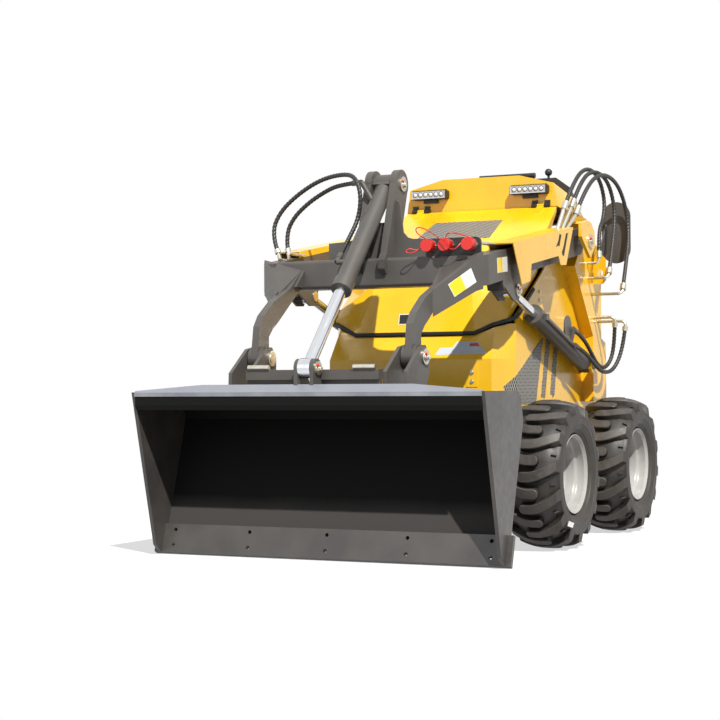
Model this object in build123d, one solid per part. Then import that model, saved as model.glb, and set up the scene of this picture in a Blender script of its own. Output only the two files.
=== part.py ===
from build123d import *
from math import atan2, cos, degrees, radians, sin, tan
import os

os.makedirs("parts", exist_ok=True)

# Skid steer loader, stand-on kind. Millimetres, +Z up, +X towards the bucket, +Y the machine's left.
# All x values below are measured from the front axle, which stands FRONT_AXLE_X ahead of the origin.

# ---------------------------------------------------------------- driving sizes
FRONT_AXLE_X = 250.0
WHEELBASE = 744.0
RUN_FIT = 0.1
SEAT_GAP = 0.3

# Wheels
TYRE_DIAMETER = 508.0
TYRE_WIDTH = 206.0
WHEEL_CENTRE_Y = 532.5
RIM_SEAT_DIAMETER = 254.0
RIM_LIP_HEIGHT = 8.0
LUG_HEIGHT = 20.0
LUG_COUNT = 14
LUG_SLANT = 8.0
SPINDLE_RADIUS = 30.0

# Chassis
SIDE_OUT = 352.0
SKIN = 6.0
BELLY_Z = 180.0
FLOOR_PLATE = 10.0
REAR_X = -1040.0
NOSE_BOTTOM = 396.0
FRAME_FRONT_X = 75.0
CHAIN_CASE_IN = 262.0
CHAIN_CASE_TOP = 400.0
REAR_BOX_OUT = 400.0
PLATFORM_X = -1336.0
PLATFORM_HALF = 300.0

# Lift arms
PIVOT_X = -650.0
PIVOT_Z = 1100.0
ARM_SLOPE = 9.6
ARM_HEIGHT = 100.0
ARM_IN = 362.0
ARM_WALL_TO_WALL = 60.0
ARM_END_X = 330.0
ARM_CORNER = 45.0
PIN_RADIUS = 17.5
EAR_IN = 452.0
EAR_THICKNESS = 12.0
CROSS_REAR_X = 210.0
CROSS_DEPTH = 100.0
CROSS_TOP = 993.0
CROSS_HEIGHT = 100.0
HOOK_IN = 265.0
HOOK_THICKNESS = 25.0
HUB_RADIUS = 40.0
HUB_HALF = 25.0
COVER_OUT = 454.0
COVER_SHEET = 3.0

# Lift cylinders
ROD_PIN_X = 20.0
ROD_PIN_Z = 885.0
BASE_PIN_X = -800.0
BASE_PIN_Z = 632.0
CYLINDER_Y = 392.0
EYE_WIDTH = 42.0
EYE_RADIUS = 27.0
BARREL_RADIUS = 34.0
ROD_RADIUS = 17.5
LIFT_BARREL = 613.0
LIFT_ROD_INSIDE = 399.0

# Tilt cylinder and its tower
TOWER_PIN_X = 180.0
TOWER_PIN_Z = 1255.0
TOWER_IN = 35.5
TOWER_THICKNESS = 25.0
TILT_BARREL = 526.0
TILT_ROD_RADIUS = 20.0
TILT_ROD_INSIDE = 150.0
TILT_EYE_RADIUS = 30.0

# Bucket, in its own frame: u runs along the floor to the lip, w stands up from the floor
BUCKET_TILT = 72.4
BUCKET_PIN_X = 590.0
PIN_BACK = 172.0
PIN_UP = 126.0
FLOOR_LENGTH = 472.0
BUCKET_SHEET = 6.0
HEEL_U = -77.6
HEEL_W = 52.9
HEEL_RADIUS = 45.0
BACK_TOP_U = 14.4
BACK_TOP_W = 326.8
BUCKET_HALF = 621.0
BUCKET_SIDE = 12.0
EDGE_THICKNESS = 16.0
EDGE_DEPTH = 100.0
EDGE_REACH = 17.0
BOLT_PITCH = 284.0
BUCKET_EAR_IN = 236.0
BUCKET_EAR_THICKNESS = 12.0

# Hood
HINGE_X = -696.0
HINGE_Z = 1250.0
HOOD_HALF = 338.0
HOOD_SHEET = 4.0

# ---------------------------------------------------------------- derived sizes
AXLE_Z = TYRE_DIAMETER / 2
SIDE_IN = SIDE_OUT - SKIN
ARM_OUT = ARM_IN + ARM_WALL_TO_WALL
EDGE_HALF = BUCKET_HALF + EDGE_REACH
ARM_FACE = (ARM_IN + ARM_OUT) / 2
CROSS_FRONT_X = CROSS_REAR_X + CROSS_DEPTH
CROSS_BOTTOM = CROSS_TOP - CROSS_HEIGHT
HOOK_OUT = HOOK_IN + HOOK_THICKNESS
HOOK_MID = (HOOK_IN + HOOK_OUT) / 2
EYE_IN = CYLINDER_Y - EYE_WIDTH / 2
EYE_OUT = CYLINDER_Y + EYE_WIDTH / 2
TOWER_OUT = TOWER_IN + TOWER_THICKNESS
LUG_PLATE_IN = EYE_WIDTH / 2 + 0.5
LUG_PLATE_OUT = LUG_PLATE_IN + 13
SHELL_HALF = BUCKET_HALF - BUCKET_SIDE
BUCKET_PIN_Z = (FLOOR_LENGTH + PIN_BACK) * sin(radians(BUCKET_TILT)) + PIN_UP * cos(radians(BUCKET_TILT))
REAR_AXLE_X = -WHEELBASE
CENTRE = (Align.CENTER, Align.CENTER, Align.CENTER)
ON_BASE = (Align.CENTER, Align.CENTER, Align.MIN)


# ---------------------------------------------------------------- ways of making a piece
def block(x0, x1, y0, y1, z0, z1):
    """Rectangular piece between two corners."""
    size = Box(x1 - x0, y1 - y0, z1 - z0)
    return Pos((x0 + x1) / 2, (y0 + y1) / 2, (z0 + z1) / 2) * size


def side_plate(outline, y_from, y_to):
    """Plate cut to an outline seen from the side, between two y planes."""
    face = make_face(Polyline(*[(x, y_from, z) for x, z in outline], close=True))
    return extrude(face, amount=abs(y_to - y_from), dir=(0, 1 if y_to > y_from else -1, 0))


def front_plate(outline, x_from, x_to):
    """Plate cut to an outline seen from the front, between two x planes."""
    face = make_face(Polyline(*[(x_from, y, z) for y, z in outline], close=True))
    return extrude(face, amount=abs(x_to - x_from), dir=(1 if x_to > x_from else -1, 0, 0))


def plan_plate(outline, z_from, z_to):
    """Plate cut to an outline seen from above, between two heights."""
    face = make_face(Polyline(*[(x, y, z_from) for x, y in outline], close=True))
    return extrude(face, amount=z_to - z_from, dir=(0, 0, 1))


def across(x, z, radius, y_from, y_to):
    """Round piece lying across the machine."""
    bar = Cylinder(radius, abs(y_to - y_from))
    return Pos(x, (y_from + y_to) / 2, z) * Rot(90, 0, 0) * bar


def between(start, end, radius):
    """Round bar from one point to another."""
    line = Vector(*end) - Vector(*start)
    return Plane(origin=start, z_dir=line) * Cylinder(radius, line.length, align=ON_BASE)


def other_side(piece):
    """The same piece on the machine's right."""
    return mirror(piece, about=Plane.XZ)


def both(*pieces):
    """Pieces of the left side and their mirrored copies."""
    return list(pieces) + [other_side(piece) for piece in pieces]


def ruled(sections):
    """Skin of straight lines through matching outlines."""
    return loft([make_face(Polyline(*points, close=True)) for points in sections], ruled=True)


def save(name, *pieces):
    """Write one node, moved from the axle's frame to the machine's."""
    solids = []
    for piece in pieces:
        group = piece if isinstance(piece, list) else [piece]
        for one in group:
            solids.extend(one.solids())
    node = Compound(solids) if len(solids) > 1 else solids[0]
    export_step(Pos(FRONT_AXLE_X, 0, 0) * node, f"parts/{name}.step")
    print(name, len(solids), "solids", round(sum(s.volume for s in solids) / 1e6, 3), "litres")


# ---------------------------------------------------------------- wheels
RIM_SEAT = RIM_SEAT_DIAMETER / 2
RIM_LIP = RIM_SEAT + RIM_LIP_HEIGHT
RIM_HALF = TYRE_WIDTH / 2 - 18
TREAD_RADIUS = TYRE_DIAMETER / 2 - LUG_HEIGHT
SHOULDER = TREAD_RADIUS - 24
HALF_WIDTH = TYRE_WIDTH / 2
DISC_Y = -18.0
DISC = 8.0


def tyre():
    """Lugged industrial tyre about the z axis: flat-sided carcass with staggered bars on its tread."""
    flats = 2 * LUG_COUNT

    def many_sided(stations):
        """Ruled solid through polygons, each given by its distance to the flats and its height."""
        rings = []
        for reach, height in stations:
            ring = RegularPolygon(reach / cos(radians(180 / flats)), flats, rotation=180 / flats)
            rings.append(Pos(0, 0, height) * ring)
        return loft(rings, ruled=True)

    carcass = many_sided(
        (
            (SHOULDER - 14, -HALF_WIDTH),
            (TREAD_RADIUS - 4, 34 - HALF_WIDTH),
            (TREAD_RADIUS - 4, HALF_WIDTH - 34),
            (SHOULDER - 14, HALF_WIDTH),
        )
    )
    crown = many_sided(
        (
            (SHOULDER + 2, -HALF_WIDTH),
            (TREAD_RADIUS + 9, 18 - HALF_WIDTH),
            (TYRE_DIAMETER / 2, 64 - HALF_WIDTH),
            (TYRE_DIAMETER / 2, HALF_WIDTH - 64),
            (TREAD_RADIUS + 9, HALF_WIDTH - 18),
            (SHOULDER + 2, HALF_WIDTH),
        )
    )
    mouth = Polyline(
        (0, 0, -HALF_WIDTH - 1),
        (RIM_LIP + 40, 0, -HALF_WIDTH - 1),
        (RIM_LIP + 1, 0, -RIM_HALF + 8.5),
        (RIM_SEAT + SEAT_GAP, 0, -RIM_HALF + 8.5),
        (RIM_SEAT + SEAT_GAP, 0, RIM_HALF - 8.5),
        (RIM_LIP + 1, 0, RIM_HALF - 8.5),
        (RIM_LIP + 40, 0, HALF_WIDTH + 1),
        (0, 0, HALF_WIDTH + 1),
        close=True,
    )
    whole = carcass
    for index in range(flats):
        side = 1 if index % 2 else -1
        bar = Pos(SHOULDER + 20, 0, side * (HALF_WIDTH - 54)) * Rot(side * LUG_SLANT, 0, 0) * Box(70, 30, 122)
        whole = whole + ((Rot(0, 0, index * 360 / flats) * bar) & crown)
    return Rot(90, 0, 0) * (whole - revolve(make_face(mouth), axis=Axis.Z))


def rim():
    """Pressed steel rim about the y axis: barrel with two lips, dished disc and bored hub."""
    outline = Polyline(
        (RIM_LIP, 0, -RIM_HALF),
        (RIM_LIP, 0, -RIM_HALF + 6),
        (RIM_SEAT, 0, -RIM_HALF + 8),
        (RIM_SEAT, 0, RIM_HALF - 8),
        (RIM_LIP, 0, RIM_HALF - 6),
        (RIM_LIP, 0, RIM_HALF),
        (RIM_SEAT - 8, 0, RIM_HALF - 4),
        (RIM_SEAT - 16, 0, RIM_HALF - 30),
        (RIM_SEAT - 22, 0, DISC_Y + 24),
        (84, 0, DISC_Y + DISC),
        (SPINDLE_RADIUS + RUN_FIT, 0, DISC_Y + DISC),
        (SPINDLE_RADIUS + RUN_FIT, 0, DISC_Y),
        (92, 0, DISC_Y),
        (RIM_SEAT - 14, 0, DISC_Y + 8),
        (RIM_SEAT - 6, 0, DISC_Y - 6),
        (RIM_SEAT - 6, 0, -RIM_HALF + 4),
        close=True,
    )
    return Rot(90, 0, 0) * revolve(make_face(outline), axis=Axis.Z)


tyre_form = tyre()
rim_form = rim()
WHEELS = (
    ("front_left", 0.0, 1),
    ("front_right", 0.0, -1),
    ("rear_left", REAR_AXLE_X, 1),
    ("rear_right", REAR_AXLE_X, -1),
)
for corner, axle_x, side in WHEELS:
    # The dish faces out, so a right wheel is the left one turned half round.
    turned = Rot(0, 0, 0) if side < 0 else Rot(0, 0, 180)
    place = Pos(axle_x, side * WHEEL_CENTRE_Y, AXLE_Z) * turned
    save("tyre_" + corner, place * tyre_form)
    save("rim_" + corner, place * rim_form)

hub_motors = []
for axle_x in (0.0, REAR_AXLE_X):
    motor = across(axle_x, AXLE_Z, 70, SIDE_OUT, SIDE_OUT + 58)
    flange = across(axle_x, AXLE_Z, 88, SIDE_OUT + 58, WHEEL_CENTRE_Y + DISC_Y - SEAT_GAP)
    neck = across(
        axle_x,
        AXLE_Z,
        SPINDLE_RADIUS,
        WHEEL_CENTRE_Y + DISC_Y - SEAT_GAP,
        WHEEL_CENTRE_Y + DISC_Y + DISC,
    )
    cap = across(
        axle_x,
        AXLE_Z,
        SPINDLE_RADIUS + 14,
        WHEEL_CENTRE_Y + DISC_Y + DISC + SEAT_GAP,
        WHEEL_CENTRE_Y + 22,
    )
    stub = across(axle_x, AXLE_Z, SPINDLE_RADIUS, WHEEL_CENTRE_Y + DISC_Y + DISC, WHEEL_CENTRE_Y + 10)
    hub_motors.extend(both(motor + flange + neck + cap + stub))
save("hub_motors", hub_motors)

# ---------------------------------------------------------------- chassis
belly = block(REAR_X + 10, -150, -SIDE_IN, SIDE_IN, BELLY_Z, BELLY_Z + FLOOR_PLATE)
case = block(REAR_X + 10, -150, CHAIN_CASE_IN, SIDE_IN, BELLY_Z + FLOOR_PLATE, CHAIN_CASE_TOP)
rear_wall = block(REAR_X, REAR_X + 10, -SIDE_IN, SIDE_IN, BELLY_Z, 1100)
axle_beam = block(-150, FRAME_FRONT_X, -SIDE_OUT, SIDE_OUT, BELLY_Z, NOSE_BOTTOM - SEAT_GAP)
save("chassis_frame", belly + case + other_side(case) + rear_wall + axle_beam)

engine = block(-700, -350, -200, 200, BELLY_Z + FLOOR_PLATE, 640)
head = block(-660, -390, -110, 110, 640, 760)
air_cleaner = across(-480, 830, 70, -170, 170)
cleaner_foot = block(-520, -440, -60, 60, 760, 766)
radiator = block(-330, -270, -240, 240, BELLY_Z + FLOOR_PLATE, 780)
fan = Pos(-340, 0, 480) * Rot(0, 90, 0) * Cylinder(180, 20)
tank = block(REAR_X + 10, -760, -250, 250, BELLY_Z + FLOOR_PLATE, 700)
save("engine_block", engine + head + cleaner_foot + air_cleaner + fan + radiator, tank)

# Seam between hood and body, seen from the side
SEAM = ((-101.0, 784.0), (-216.0, 847.0), (-440.0, 985.0), (-703.0, 1245.0))
NOSE_REAR = -147.0
side_outline = [
    (-151, BELLY_Z),
    (-151, NOSE_BOTTOM),
    (NOSE_REAR, NOSE_BOTTOM),
    (NOSE_REAR, 805),
    (SEAM[1][0], SEAM[1][1] - 4),
    (SEAM[2][0], SEAM[2][1] - 4),
    (SEAM[3][0], SEAM[3][1] - 22),
    (-950, 1214),
    (REAR_X, 1100),
    (REAR_X, BELLY_Z),
]
side_panel = side_plate(side_outline, SIDE_IN, SIDE_OUT)
side_panel = side_panel - across(PIVOT_X, PIVOT_Z, PIN_RADIUS + RUN_FIT, SIDE_IN - 1, SIDE_OUT + 1)
MESH = ((-400.0, 722.0), (-163.0, 600.0), (-163.0, 530.0), (-314.0, 502.0))
side_panel = side_panel - side_plate(MESH, SIDE_IN - 1, SIDE_OUT + 1)
for slot_x in (-468.0, -556.0):
    slot = side_plate(
        [(slot_x - 30, 722), (slot_x - 14, 726), (slot_x + 28, 508), (slot_x + 12, 504)],
        SIDE_IN - 1,
        SIDE_OUT + 1,
    )
    side_panel = side_panel - slot
save("side_panels", both(side_panel))

grille_frame = side_plate([(-408, 730), (-158, 604), (-158, 524), (-318, 496)], SIDE_IN - 6, SIDE_IN)
grille = grille_frame
for step in range(9):
    shift = step * 24
    gap = side_plate(
        [(-396 + shift, 760), (-386 + shift, 760), (-346 + shift, 470), (-356 + shift, 470)],
        SIDE_IN - 7,
        SIDE_IN + 1,
    )
    grille = grille - (gap & side_plate(MESH, SIDE_IN - 7, SIDE_IN + 1))
save("nose_grilles", both(grille))

# Nose: three-sided cowl, its label face sloping up to the seam
nose_bottom = [(NOSE_REAR, SIDE_OUT), (0, 315), (0, -315), (NOSE_REAR, -SIDE_OUT)]
nose_top = [(NOSE_REAR, SIDE_OUT), (-82, 300), (-82, -300), (NOSE_REAR, -SIDE_OUT)]


def nose_solid(inset, low, high):
    """Nose volume drawn in by the sheet's thickness."""
    rear = NOSE_REAR - (1 if inset else 0)
    bend = 650.0
    lower = [
        (rear, SIDE_OUT - inset),
        (-inset * 0.6, 315 - inset),
        (-inset * 0.6, inset - 315),
        (rear, inset - SIDE_OUT),
    ]
    upper = [
        (rear, SIDE_OUT - inset),
        (-82 - inset, 300 - inset),
        (-82 - inset, inset - 300),
        (rear, inset - SIDE_OUT),
    ]
    skirt = plan_plate(lower, low, bend)
    slope = ruled([[(x, y, bend) for x, y in lower], [(x, y, high) for x, y in upper]])
    return skirt + slope


nose = nose_solid(0, NOSE_BOTTOM, 790) - nose_solid(SKIN, NOSE_BOTTOM - 1, 790)
above_seam = front_plate(
    [
        (-360, 776),
        (-338, 776),
        (-298, 760),
        (-229, 734),
        (229, 734),
        (298, 760),
        (338, 776),
        (360, 776),
        (360, 820),
        (-360, 820),
    ],
    NOSE_REAR - 20,
    20,
)
nose = nose - above_seam
save("nose_panel", nose)

rear_box_outline = [
    (-659, 1009),
    (-876, 746),
    (-876, 490),
    (REAR_X, 490),
    (REAR_X, 719),
    (-980, 739),
    (-988, 1092),
    (-716, 1138),
    (-714, 1090),
    (-690, 1043),
]
rear_box = side_plate(rear_box_outline, SIDE_OUT, REAR_BOX_OUT)
cheek = side_plate([(-800, 600), (-900, 600), (-900, 664), (-800, 664)], EYE_OUT + 1, EYE_OUT + 13)
cheek = cheek + across(BASE_PIN_X, BASE_PIN_Z, 32, EYE_OUT + 1, EYE_OUT + 13)
filler = block(-900, -880, REAR_BOX_OUT, EYE_OUT + 1, 600, 664)
inner_cheek = across(BASE_PIN_X, BASE_PIN_Z, 34, SIDE_OUT, EYE_IN - 1)
lug_plate = front_plate(
    [(400, 950), (440, 950), (452, 965), (452, 1045), (435, 1064), (400, 1064)],
    -888,
    -880,
)
lug_plate = lug_plate - Pos(-884, 428, 993) * Rot(0, 90, 0) * Cylinder(13, 20)
base_bore = across(BASE_PIN_X, BASE_PIN_Z, PIN_RADIUS + RUN_FIT, SIDE_OUT - 1, EYE_OUT + 30)
carrier = rear_box + cheek + filler + lug_plate - base_bore
save("rear_boxes", both(carrier), both(inner_cheek - base_bore))

ear_outline = [
    (-552, 1161),
    (-625, 1176),
    (-668, 1170),
    (-708, 1138),
    (-716, 1085),
    (-659, 1036),
    (-551, 1110),
]
ear = side_plate(ear_outline, EAR_IN, EAR_IN + EAR_THICKNESS)
ear = ear - across(PIVOT_X, PIVOT_Z, PIN_RADIUS + RUN_FIT, EAR_IN - 1, EAR_IN + EAR_THICKNESS + 1)
ear_back = side_plate(
    [(-668, 1170), (-699, 1138), (-707, 1087), (-715, 1087), (-708, 1142), (-674, 1178)],
    SIDE_OUT,
    EAR_IN,
)
ear_back = ear_back - side_plate(rear_box_outline, SIDE_OUT - 1, REAR_BOX_OUT)
save("pivot_ears", both(ear + ear_back))

pivot_pin = across(PIVOT_X, PIVOT_Z, PIN_RADIUS, SIDE_IN - 6, EAR_IN + EAR_THICKNESS + 3)
pivot_keeper = across(PIVOT_X, PIVOT_Z, 26, EAR_IN + EAR_THICKNESS, EAR_IN + EAR_THICKNESS + 6)
base_pin = across(BASE_PIN_X, BASE_PIN_Z, PIN_RADIUS, SIDE_OUT + 1, EYE_OUT + 17)
save("chassis_pins", both(pivot_pin + pivot_keeper, base_pin))

# Console behind the hood hinge
console_front = [(-315, 1245), (-302, 1336), (-160, 1372), (160, 1372), (302, 1336), (315, 1245)]
console_rear = [(-SIDE_IN, 1214), (-300, 1300), (-160, 1352), (160, 1352), (300, 1300), (SIDE_IN, 1214)]
console = ruled([[(-703, y, z) for y, z in console_front], [(-940, y, z) for y, z in console_rear]])
save("console_panel", console)
cowl = ruled(
    [
        [
            (-940, -300, 1200),
            (-940, -290, 1340),
            (-940, -230, 1384),
            (-940, 230, 1384),
            (-940, 290, 1340),
            (-940, 300, 1200),
        ],
        [
            (-1030, -300, 1200),
            (-1030, -285, 1300),
            (-1030, -230, 1340),
            (-1030, 230, 1340),
            (-1030, 285, 1300),
            (-1030, 300, 1200),
        ],
    ]
)
rear_cover = block(REAR_X + 2, -941, -SIDE_IN, SIDE_IN, 1104, 1199)
save("console_cowl", cowl)

lever_base = Pos(-985, 183, 1362) * Cylinder(16, 24, align=ON_BASE)
lever_rod = Pos(-985, 183, 1386) * Cylinder(5, 14, align=ON_BASE)
lever_knob = Pos(-985, 183, 1412) * Sphere(15)
grip_bar = between((-1000, -120, 1405), (-1000, 120, 1405), 11)
grip_legs = [between((-1000, y, 1352), (-1000, y, 1405), 8) for y in (-110, 110)]
grips = grip_bar + grip_legs[0] + grip_legs[1]
save("control_levers", lever_base + lever_rod + lever_knob - cowl, grips - cowl)

pad = block(REAR_X - 38, REAR_X, -210, 210, 760, 1180)
save("hip_pad", fillet(pad.edges().filter_by(Axis.X), 30))

tread_plate = block(PLATFORM_X, REAR_X, -PLATFORM_HALF, PLATFORM_HALF, 240, 252)
kick = block(REAR_X - 8, REAR_X, -PLATFORM_HALF, PLATFORM_HALF, 190, 240)
rail = block(PLATFORM_X + 10, REAR_X - 8, PLATFORM_HALF - 40, PLATFORM_HALF, 190, 240)
save("platform", tread_plate + kick + rail + other_side(rail))

# Work lights on the console
LAMP_TILT = degrees(atan2(674 - 671, 1328 - 1295))
lamp_rows = []
for lamp_y in (209.0, -209.0):
    case_box = block(-706, -671, lamp_y - 76, lamp_y + 76, 1294, 1330)
    case_box = fillet(case_box.edges().filter_by(Axis.X), 8)
    lens = block(-671, -668, lamp_y - 68, lamp_y + 68, 1301, 1324)
    foot = block(-703, -690, lamp_y - 30, lamp_y + 30, 1280, 1294)
    lamp_rows.append(case_box - block(-720, -703, lamp_y - 90, lamp_y + 90, 1280, 1340) + foot)
    lamp_rows.append(lens)
save("work_lights", lamp_rows)

# ---------------------------------------------------------------- hood
HOOD_SECTIONS = (
    # x, crest half-width, crest height, shoulder half-width, shoulder height, rim height
    (-699.0, 134.0, 1244.0, 315.0, 1242.0, 1222.0),
    (-405.0, 150.0, 1108.0, HOOD_HALF, 1040.0, 966.0),
    (-138.0, 190.0, 938.0, HOOD_HALF, 838.0, 806.0),
    (-101.0, 205.0, 852.0, HOOD_HALF, 800.0, 786.0),
    (-54.0, 229.0, 750.0, 240.0, 748.0, 744.0),
)


def hood_section(x, crest_y, crest_z, shoulder_y, shoulder_z, rim_z):
    """One outline across the hood."""
    return [
        (x, -shoulder_y, rim_z),
        (x, -shoulder_y, shoulder_z),
        (x, -crest_y, crest_z),
        (x, crest_y, crest_z),
        (x, shoulder_y, shoulder_z),
        (x, shoulder_y, rim_z),
    ]


hood_outer = ruled([hood_section(*row) for row in HOOD_SECTIONS])
HOOD_INSET = (0.0, 0.0, 5.0, 6.0, 9.0)
inner_rows = []
for row, back in zip(HOOD_SECTIONS, HOOD_INSET):
    x, crest_y, crest_z, shoulder_y, shoulder_z, rim_z = row
    start = x - back - (2 if row is HOOD_SECTIONS[0] else 0)
    inner_rows.append(
        (
            start,
            crest_y - HOOD_SHEET,
            crest_z - HOOD_SHEET - 1,
            shoulder_y - HOOD_SHEET,
            shoulder_z - HOOD_SHEET,
            rim_z - 60,
        )
    )
hood = hood_outer - ruled([hood_section(*row) for row in inner_rows])
vent = plan_plate([(-511, -146), (-511, 146), (-411, 134), (-411, -134)], 1050, 1250)
hood = hood - vent - plan_plate([(-330, -132), (-330, 132), (-156, 148), (-156, -148)], 900, 1150)
VENT_SLOPE = degrees(atan2(1244 - 1108, -405 + 699))


def on_hood(x):
    """Height of the hood's upper panel at x."""
    return 1108 + (-405 - x) * tan(radians(VENT_SLOPE))


vent_plate = side_plate(
    [
        (-518, on_hood(-518) - 9),
        (-404, on_hood(-404) - 9),
        (-404, on_hood(-404) - 6),
        (-518, on_hood(-518) - 6),
    ],
    -142,
    142,
)
for step in range(13):
    y = (step - 6) * 20.0
    vent_plate = vent_plate - block(-507, -415, y - 6, y + 6, 1050, 1250)
low_vent = plan_plate([(-330, -132), (-330, 132), (-156, 148), (-156, -148)], 900, 1150)
PANEL_SLOPE = (1108.0 - 938.0) / (405.0 - 138.0)


def on_middle(x):
    """Height of the hood's middle panel at x."""
    return 938 + (-138 - x) * PANEL_SLOPE


low_plate = side_plate(
    [
        (-338, on_middle(-338) - 9),
        (-148, on_middle(-148) - 9),
        (-148, on_middle(-148) - 5.5),
        (-338, on_middle(-338) - 5.5),
    ],
    -154,
    154,
)
low_plate = low_plate & low_vent
for step in range(13):
    y = (step - 6) * 20.0
    low_plate = low_plate - block(-318, -168, y - 6, y + 6, 900, 1150)
save("hood_grille", vent_plate, low_plate)

hinges = []
hood_knuckles = []
for hinge_y in (252.0, -252.0):
    leaf = block(-703, -701, hinge_y - 37, hinge_y + 37, 1258, 1272)
    for end in (-1, 1):
        knuckle = across(HINGE_X, HINGE_Z, 6.5, hinge_y + end * 14, hinge_y + end * 37)
        leaf_side = sorted((hinge_y + end * 14, hinge_y + end * 37))
        hinges.append(knuckle + block(-703, -699, leaf_side[0], leaf_side[1], HINGE_Z, 1270))
    hinges.append(across(HINGE_X, HINGE_Z, 3, hinge_y - 14, hinge_y + 14))
    strap = across(HINGE_X, HINGE_Z, 6.5, hinge_y - 13.5, hinge_y + 13.5)
    strap = strap + side_plate(
        [(-697, 1244), (-694, 1225), (-655, 1205), (-655, 1222), (-690, 1246), (-694, 1256)],
        hinge_y - 13.5,
        hinge_y + 13.5,
    )
    pin_hole = across(HINGE_X, HINGE_Z, 3 + RUN_FIT, hinge_y - 20, hinge_y + 20)
    hood_knuckles.append(strap - hood_outer - pin_hole)
save("hood_hinges", hinges)
save("hood_shell", hood, hood_knuckles)

# ---------------------------------------------------------------- lift arms
SLOPE_COS = cos(radians(ARM_SLOPE))
SLOPE_SIN = sin(radians(ARM_SLOPE))
HALF = ARM_HEIGHT / 2


def on_arm(x, above):
    """Point of the arm at x, the given distance above its centre line."""
    return (x, PIVOT_Z - (x - PIVOT_X) * SLOPE_SIN / SLOPE_COS + above / SLOPE_COS)


bar = side_plate(
    [on_arm(PIVOT_X, HALF), on_arm(ARM_END_X, HALF), on_arm(ARM_END_X, -HALF), on_arm(PIVOT_X, -HALF)],
    ARM_IN,
    ARM_OUT,
)
bar = fillet(bar.edges().filter_by(Axis.Z).group_by(Axis.X)[-1].sort_by(Axis.Y)[-1], ARM_CORNER)
bar = bar + across(PIVOT_X, PIVOT_Z, HALF, ARM_IN, ARM_OUT)

# Diagonal strip from the arm's rounded corner in to the hook plate
STRIP_TURN = 40.6
STRIP_SHEET = 12.0
corner_x = ARM_END_X - ARM_CORNER + ARM_CORNER * sin(radians(STRIP_TURN))
corner_y = ARM_OUT - ARM_CORNER + ARM_CORNER * cos(radians(STRIP_TURN))
strip_run = (corner_y - HOOK_OUT) / tan(radians(STRIP_TURN))
strip_plan = [
    (corner_x, corner_y),
    (corner_x + strip_run, HOOK_OUT),
    (corner_x + strip_run - STRIP_SHEET * 1.2, HOOK_OUT - 1),
    (corner_x - STRIP_SHEET * 0.6, corner_y - STRIP_SHEET * 0.9),
]
strip = plan_plate(strip_plan, 700, 1050)
strip = strip & side_plate(
    [(300, 1000), (322, 990), (450, 874), (480, 866), (480, 772), (455, 782), (335, 868), (300, 882)],
    200,
    430,
)

# Inclined plate that closes the corner between crossmember, strip and hook plate
PLATE_A = 1113.9
PLATE_X = 0.7371
PLATE_Y = 0.2826


def on_top_plate(x, y, drop=0.0):
    """Point of the inclined corner plate."""
    return (x, y, PLATE_A - PLATE_X * x + PLATE_Y * y - drop)


plate_face = make_face(
    Polyline(
        on_top_plate(CROSS_FRONT_X, HOOK_IN),
        on_top_plate(434, HOOK_OUT),
        on_top_plate(corner_x, corner_y),
        on_top_plate(CROSS_FRONT_X, corner_y),
        close=True,
    )
)
corner_plate = extrude(plate_face, amount=8, dir=(0, 0, -1))

HOOK_OUTLINE = (
    (CROSS_FRONT_X, 960.0),
    (398.0, 893.0),
    (434.0, 876.0),
    (507.0, 847.0),
    (584.0, 795.0),
    (613.0, 757.0),
    (629.5, BUCKET_PIN_Z + 8),
    (551.0, BUCKET_PIN_Z),
    (550.0, 725.0),
    (522.0, 752.0),
    (481.0, 778.0),
    (333.0, 885.0),
    (CROSS_FRONT_X, 901.0),
)
hook = side_plate(HOOK_OUTLINE, HOOK_IN, HOOK_OUT)
hub = across(BUCKET_PIN_X, BUCKET_PIN_Z, HUB_RADIUS, HOOK_MID - HUB_HALF, HOOK_MID + HUB_HALF)
gusset = side_plate([(CROSS_FRONT_X, 958), (372, 900), (CROSS_FRONT_X, 900)], HOOK_IN - 10, HOOK_IN)

clevis_outline = [
    on_arm(-5, -HALF + 2),
    (-1, 868),
    (10, 850),
    (58, 848),
    on_arm(160, -HALF - 14),
    on_arm(160, -HALF + 2),
]
clevis = side_plate(clevis_outline, ARM_IN, ARM_IN + 8) + side_plate(clevis_outline, ARM_OUT - 8, ARM_OUT)
clevis = clevis + side_plate(
    [on_arm(150, -HALF), on_arm(160, -HALF), on_arm(160, -HALF - 14), (150, 878)],
    ARM_IN,
    ARM_OUT,
)
pocket = side_plate([(-50, 800), (-50, 975), (125, 950), (125, 800)], ARM_IN + 8, ARM_OUT - 8)

arm = bar + strip + corner_plate + hook + hub + gusset + clevis - pocket
arm = arm - across(PIVOT_X, PIVOT_Z, PIN_RADIUS + RUN_FIT, ARM_IN - 1, ARM_OUT + 1)
arm = arm - across(BUCKET_PIN_X, BUCKET_PIN_Z, PIN_RADIUS + RUN_FIT, HOOK_IN - 30, HOOK_OUT + 30)
save("lift_arm_left", arm)
arm_right = other_side(arm)
save("lift_arm_right", arm_right)

cross = block(CROSS_REAR_X, CROSS_FRONT_X, -ARM_IN, ARM_IN, CROSS_BOTTOM, CROSS_TOP)
cross = fillet(cross.edges().filter_by(Axis.Y), 12)
save("crossmember", cross)

rod_keeper = across(ROD_PIN_X, ROD_PIN_Z, 22, ARM_OUT, ARM_OUT + 4)
rod_head = across(ROD_PIN_X, ROD_PIN_Z, 19, ARM_IN - 3, ARM_IN)
tower_keeper = across(TOWER_PIN_X, TOWER_PIN_Z, 26, TOWER_OUT, TOWER_OUT + 6)
tower_pin = across(TOWER_PIN_X, TOWER_PIN_Z, PIN_RADIUS, -TOWER_OUT - 4, TOWER_OUT + 2)
save("arm_pins", both(rod_keeper, rod_head), tower_pin + tower_keeper)

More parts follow.
